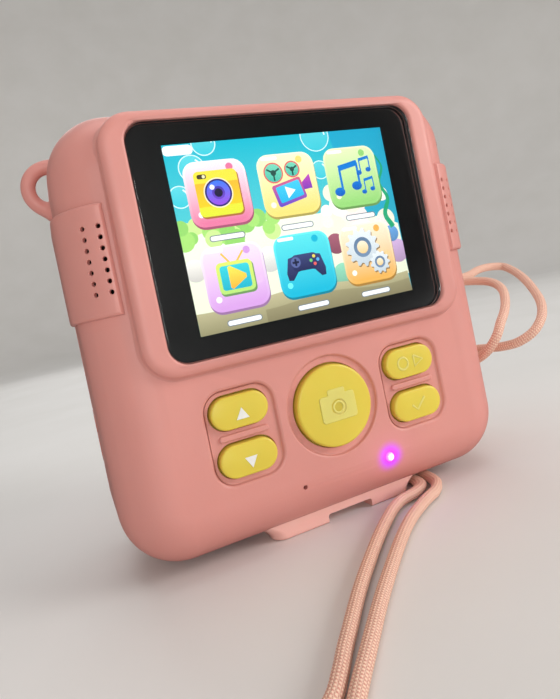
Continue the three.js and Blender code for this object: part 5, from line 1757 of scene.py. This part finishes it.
def braided_tube(name, line, radius, sides, strands, lay, depth, flatten=lambda point: 1.0):
    rings, lifts, tints = [], [], []
    step = (line[1] - line[0]).length
    for i, centre in enumerate(line):
        way = (line[min(i + 1, len(line) - 1)] - line[max(i - 1, 0)]).normalized()
        side = way.cross(Vector((0, 0, 1))).normalized()
        up = side.cross(way)
        share = flatten(centre)
        ring = []
        for k in range(sides):
            turn = 2 * math.pi * k / sides
            height, family = braid_height(k / sides, i * step / lay, strands)
            lift = max(0.0, min(1.0, height / 1.5))
            reach = radius * (1 - depth + depth * lift)
            ring.append(centre + side * (reach * math.cos(turn) * (2 - share))
                        + up * (reach * math.sin(turn) * share))
            lifts.append(lift)
            tints.append(family * 0.6 + 0.4 * random.random())
        rings.append(ring)
    tube = loft(name, rings)
    for label, values in (("lift", lifts), ("strand", tints)):
        layer = tube.data.attributes.new(label, "FLOAT", "POINT")
        layer.data.foreach_set("value", values)
    return tube


def lanyard():
    line = evenly(centre_line("lanyard_cord"), CORD_STEP)
    cord = braided_tube("cord", line, CORD_RADIUS, CORD_STRANDS * 4, CORD_STRANDS, CORD_STEP * 4, BRAID_DEPTH,
                        under_case)
    return settle(paint(cord, CORD), "lanyard", "root", ["lanyard_cord"], 80)


THREAD_STEP = 0.16
THREAD_TWIST = 1.6                     # length of one turn of the plies
THREAD_PLY = 0.22                      # radius of a ply


def thread():
    """A two-ply thread, its plies twisted round each other."""
    line = evenly(centre_line("thread_loop"), THREAD_STEP)
    plies = []
    for start in (0, math.pi):
        points = []
        for i, centre in enumerate(line):
            way = (line[min(i + 1, len(line) - 1)] - line[max(i - 1, 0)]).normalized()
            side = way.cross(Vector((0.3, 0.2, 1))).normalized()
            up = side.cross(way)
            turn = start + i * THREAD_STEP / THREAD_TWIST * 2 * math.pi
            points.append(centre + side * math.cos(turn) * 0.17 + up * math.sin(turn) * 0.17)
        plies.append(swept("ply", points, THREAD_PLY, 10))
    for ply in plies:
        for label, value in (("lift", 0.9), ("strand", 0.4)):
            layer = ply.data.attributes.new(label, "FLOAT", "POINT")
            layer.data.foreach_set("value", [value + 0.1 * math.sin(i)
                                             for i in range(len(ply.data.vertices))])
        paint(ply, THREAD)
    return settle(merge(plies[0], plies[1:]), "thread", "root", ["thread_loop"], 80)


SLEEVE_START = Vector((40.6, 28, 59.4))
SLEEVE_END = Vector((40.3, 27.5, 65.8))
SLEEVE_RADII = (2.6, 2.0)              # at its start and its end
SLEEVE_RIB = 0.16                      # height of a strain-relief rib


def sleeve():
    """The moulded sleeve that gathers the cord's ends, with strain-relief ribs."""
    start, end = SLEEVE_START, SLEEVE_END
    way = (end - start).normalized()
    side = way.orthogonal().normalized()
    up = way.cross(side)
    rings = []
    count = 48
    for k in range(count + 1):
        t = k / count
        body = SLEEVE_RADII[0] + (SLEEVE_RADII[1] - SLEEVE_RADII[0]) * t
        rib = SLEEVE_RIB * max(0.0, math.sin(t * 5.5 * 2 * math.pi)) if 0.12 < t < 0.9 else 0
        ease = 0.5 * (1 - math.sqrt(max(0.0, 1 - max(0.0, 1 - min(t, 1 - t) * count / 3) ** 2)))
        size = body - SLEEVE_RIB + rib - ease
        rings.append([start.lerp(end, t) + (side * math.cos(a) + up * math.sin(a)) * size
                      for a in angles(40, 0, 360)[:-1]])
    made = paint(loft("sleeve", rings), PINK_RUBBER)
    return settle(made, "sleeve", "root", ["cord_sleeve"], 60)


# ---------------------------------------------------------------- pieces that keep their CAD form
KEPT = {
    "lcd_panel": (INK, 0.2), "lcd_holder": (NYLON, 0.15), "lcd_ribbon": (FLEX, 0.03),
    "up_switch": (STEEL, 0.15), "down_switch": (STEEL, 0.15), "mode_switch": (STEEL, 0.15),
    "ok_switch": (STEEL, 0.15), "shutter_switch": (STEEL, 0.15), "power_switch": (BLACK_PLASTIC, 0.15),
    "main_board": (BOARD_GREEN, 0.1), "side_board": (BOARD_GREEN, 0.1), "sensor_board": (BOARD_GREEN, 0.1),
    "battery": (BATTERY_WRAP, 0.8), "right_speaker": (BLACK_PLASTIC, 0.3),
    "left_speaker": (BLACK_PLASTIC, 0.3),
    "microphone": (STEEL, 0.15), "printer_frame": (BLACK_PLASTIC, 0.15), "stepper_motor": (STEEL, 0.25),
    "print_head": (SILVER, 0.15), "head_spring": (STEEL, 0.05), "card_socket": (STEEL, 0.1),
}                                      # material, and how far its edges are eased


def dress_kept_nodes():
    """Welds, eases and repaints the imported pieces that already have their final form."""
    for name, (material, ease) in KEPT.items():
        obj = frame["nodes"][name]
        paint(obj, material)
        weld = obj.modifiers.new("weld", "WELD")
        weld.merge_threshold = 1e-6
        bevel = obj.modifiers.new("ease", "BEVEL")
        bevel.width = ease * MM
        bevel.segments = 2
        bevel.limit_method = "ANGLE"
        bevel.angle_limit = math.radians(40)
        normals = obj.modifiers.new("normals", "WEIGHTED_NORMAL")
        normals.keep_sharp = True


# ---------------------------------------------------------------- stage, light and camera
def backdrop():
    """A pale floor that sweeps up into a low wall all round, so that it has no horizon from any side."""
    flat, bend, rise = 0.95, 0.5, 1.1
    path = [(flat * k / 6, 0) for k in range(7)]
    path += [(flat + bend * math.sin(a), bend * (1 - math.cos(a)))
             for a in angles(16)[1:]] + [(flat + bend, rise)]
    bowl = lathe("backdrop", path, (0, 0), 96)
    bowl.data.transform(Matrix.Rotation(math.radians(90), 4, "X"))
    bowl.data.polygons.foreach_set("use_smooth", [True] * len(bowl.data.polygons))
    material, tree, shader, place = start_material("pale_backdrop")
    mottle = noise(tree, place, 14.0, 5.0)
    pale = mix(tree, span(tree, mottle, 0, 1), linear(228, 227, 224), linear(233, 232, 230))
    # Painted reflection: glossy rays see the backdrop dark grey, so the object mirrors dark surroundings
    # instead of the pale floor.
    mirrored = node(tree, "LightPath").outputs["Is Glossy Ray"]
    set_inputs(tree, shader, {
        "Base Color": mix(tree, mirrored, pale, linear(62, 62, 64)), "Roughness": 0.6,
        "Normal": bump(tree, noise(tree, place, 900.0, 3.0), 0.00003, 0.4),
    })
    paint(bowl, material)


def softbox(name, place, width, height, power, colour=(1, 1, 1)):
    """A rectangular studio light aimed at the object."""
    light = bpy.data.lights.new(name, "AREA")
    light.shape = "RECTANGLE"
    light.size, light.size_y = width, height
    light.energy = power
    light.color = colour
    lamp = bpy.data.objects.new(name, light)
    lamp.location = place
    lamp.rotation_mode = "QUATERNION"
    lamp.rotation_quaternion = (Vector((0, 0, 0.045)) - Vector(place)).to_track_quat("-Z", "Y")
    bpy.context.scene.collection.objects.link(lamp)


def lights():
    softbox("key", (0.85, -0.6, 0.45), 0.5, 0.5, 6.0, (1.0, 0.985, 0.965))
    softbox("front_fill", (-0.22, -0.9, 0.16), 0.5, 0.3, 2.5, (1.0, 0.97, 0.95))
    softbox("top", (0.15, 0.05, 0.95), 0.8, 0.8, 2.2)
    softbox("behind", (0.05, 0.8, 0.5), 0.5, 0.5, 1.6)
    glow = bpy.data.lights.new("status_glow", "POINT")
    glow.energy = 0.00028
    glow.color = (0.6, 0.06, 1.0)
    glow.shadow_soft_size = 0.0006
    lamp = bpy.data.objects.new("status_glow", glow)
    lamp.location = (LED.x * MM, (FRONT - 1.6) * MM, LED.z * MM)
    bpy.context.scene.collection.objects.link(lamp)
    world = bpy.data.worlds.new("room")
    world.use_nodes = True
    background = world.node_tree.nodes["Background"]
    background.inputs["Color"].default_value = (1.0, 0.96, 0.93, 1)
    background.inputs["Strength"].default_value = 0.36
    bpy.context.scene.world = world


CAMERA_PLACE = Vector((-0.04853, -0.12068, 0.05001))
CAMERA_YAW = 21.72                     # to the right of straight ahead
CAMERA_PITCH = -1.29
CAMERA_ROLL = 11.67                    # the camera leans to its right


def look():
    """The camera stands close, to the left of the screen, and leans."""
    data = bpy.data.cameras.new("camera")
    data.sensor_width = 36
    data.lens = 27.66
    data.shift_x, data.shift_y = 0.0064, -0.0563
    data.clip_start = 0.005
    camera = bpy.data.objects.new("camera", data)
    turn = Matrix.Rotation(math.radians(-CAMERA_YAW), 4, "Z")
    turn = turn @ Matrix.Rotation(math.radians(90 + CAMERA_PITCH), 4, "X")
    lean = Matrix.Rotation(math.radians(-CAMERA_ROLL), 4, "Z")
    camera.matrix_world = Matrix.Translation(CAMERA_PLACE) @ turn @ lean
    bpy.context.scene.collection.objects.link(camera)
    bpy.context.scene.camera = camera
    view = bpy.context.scene.view_settings
    view.view_transform = "Standard"
    view.look = "None"
    view.exposure = 0.0


# ---------------------------------------------------------------- everything
screen_side_shell()
lens_side_shell()
screen_frame()
screen_glass()
glass_border()
screen_picture()
speaker_grip(1)
speaker_grip(-1)
base_foot()
pad_keys()
shutter_key()
power_key()
status_light()
lens_parts()
flash_lens()
for number, place in enumerate(SCREWS, 1):
    case_screw(number, place)
door()
tear_blade()
hinge_rod()
paper_roll()
spool()
platen()
spur_gear("platen_gear", 14, "platen", NYLON, 1.3)
spur_gear("upper_idler_gear", 24, "upper_idler_gear", NYLON, 1.1)
spur_gear("lower_idler_gear", 24, "lower_idler_gear", NYLON, 1.1)
spur_gear("motor_pinion", 8, "motor_pinion", STEEL, 0)
port_flap()
charging_socket()
card()
lanyard()
thread()
sleeve()
dress_kept_nodes()
backdrop()
lights()
look()
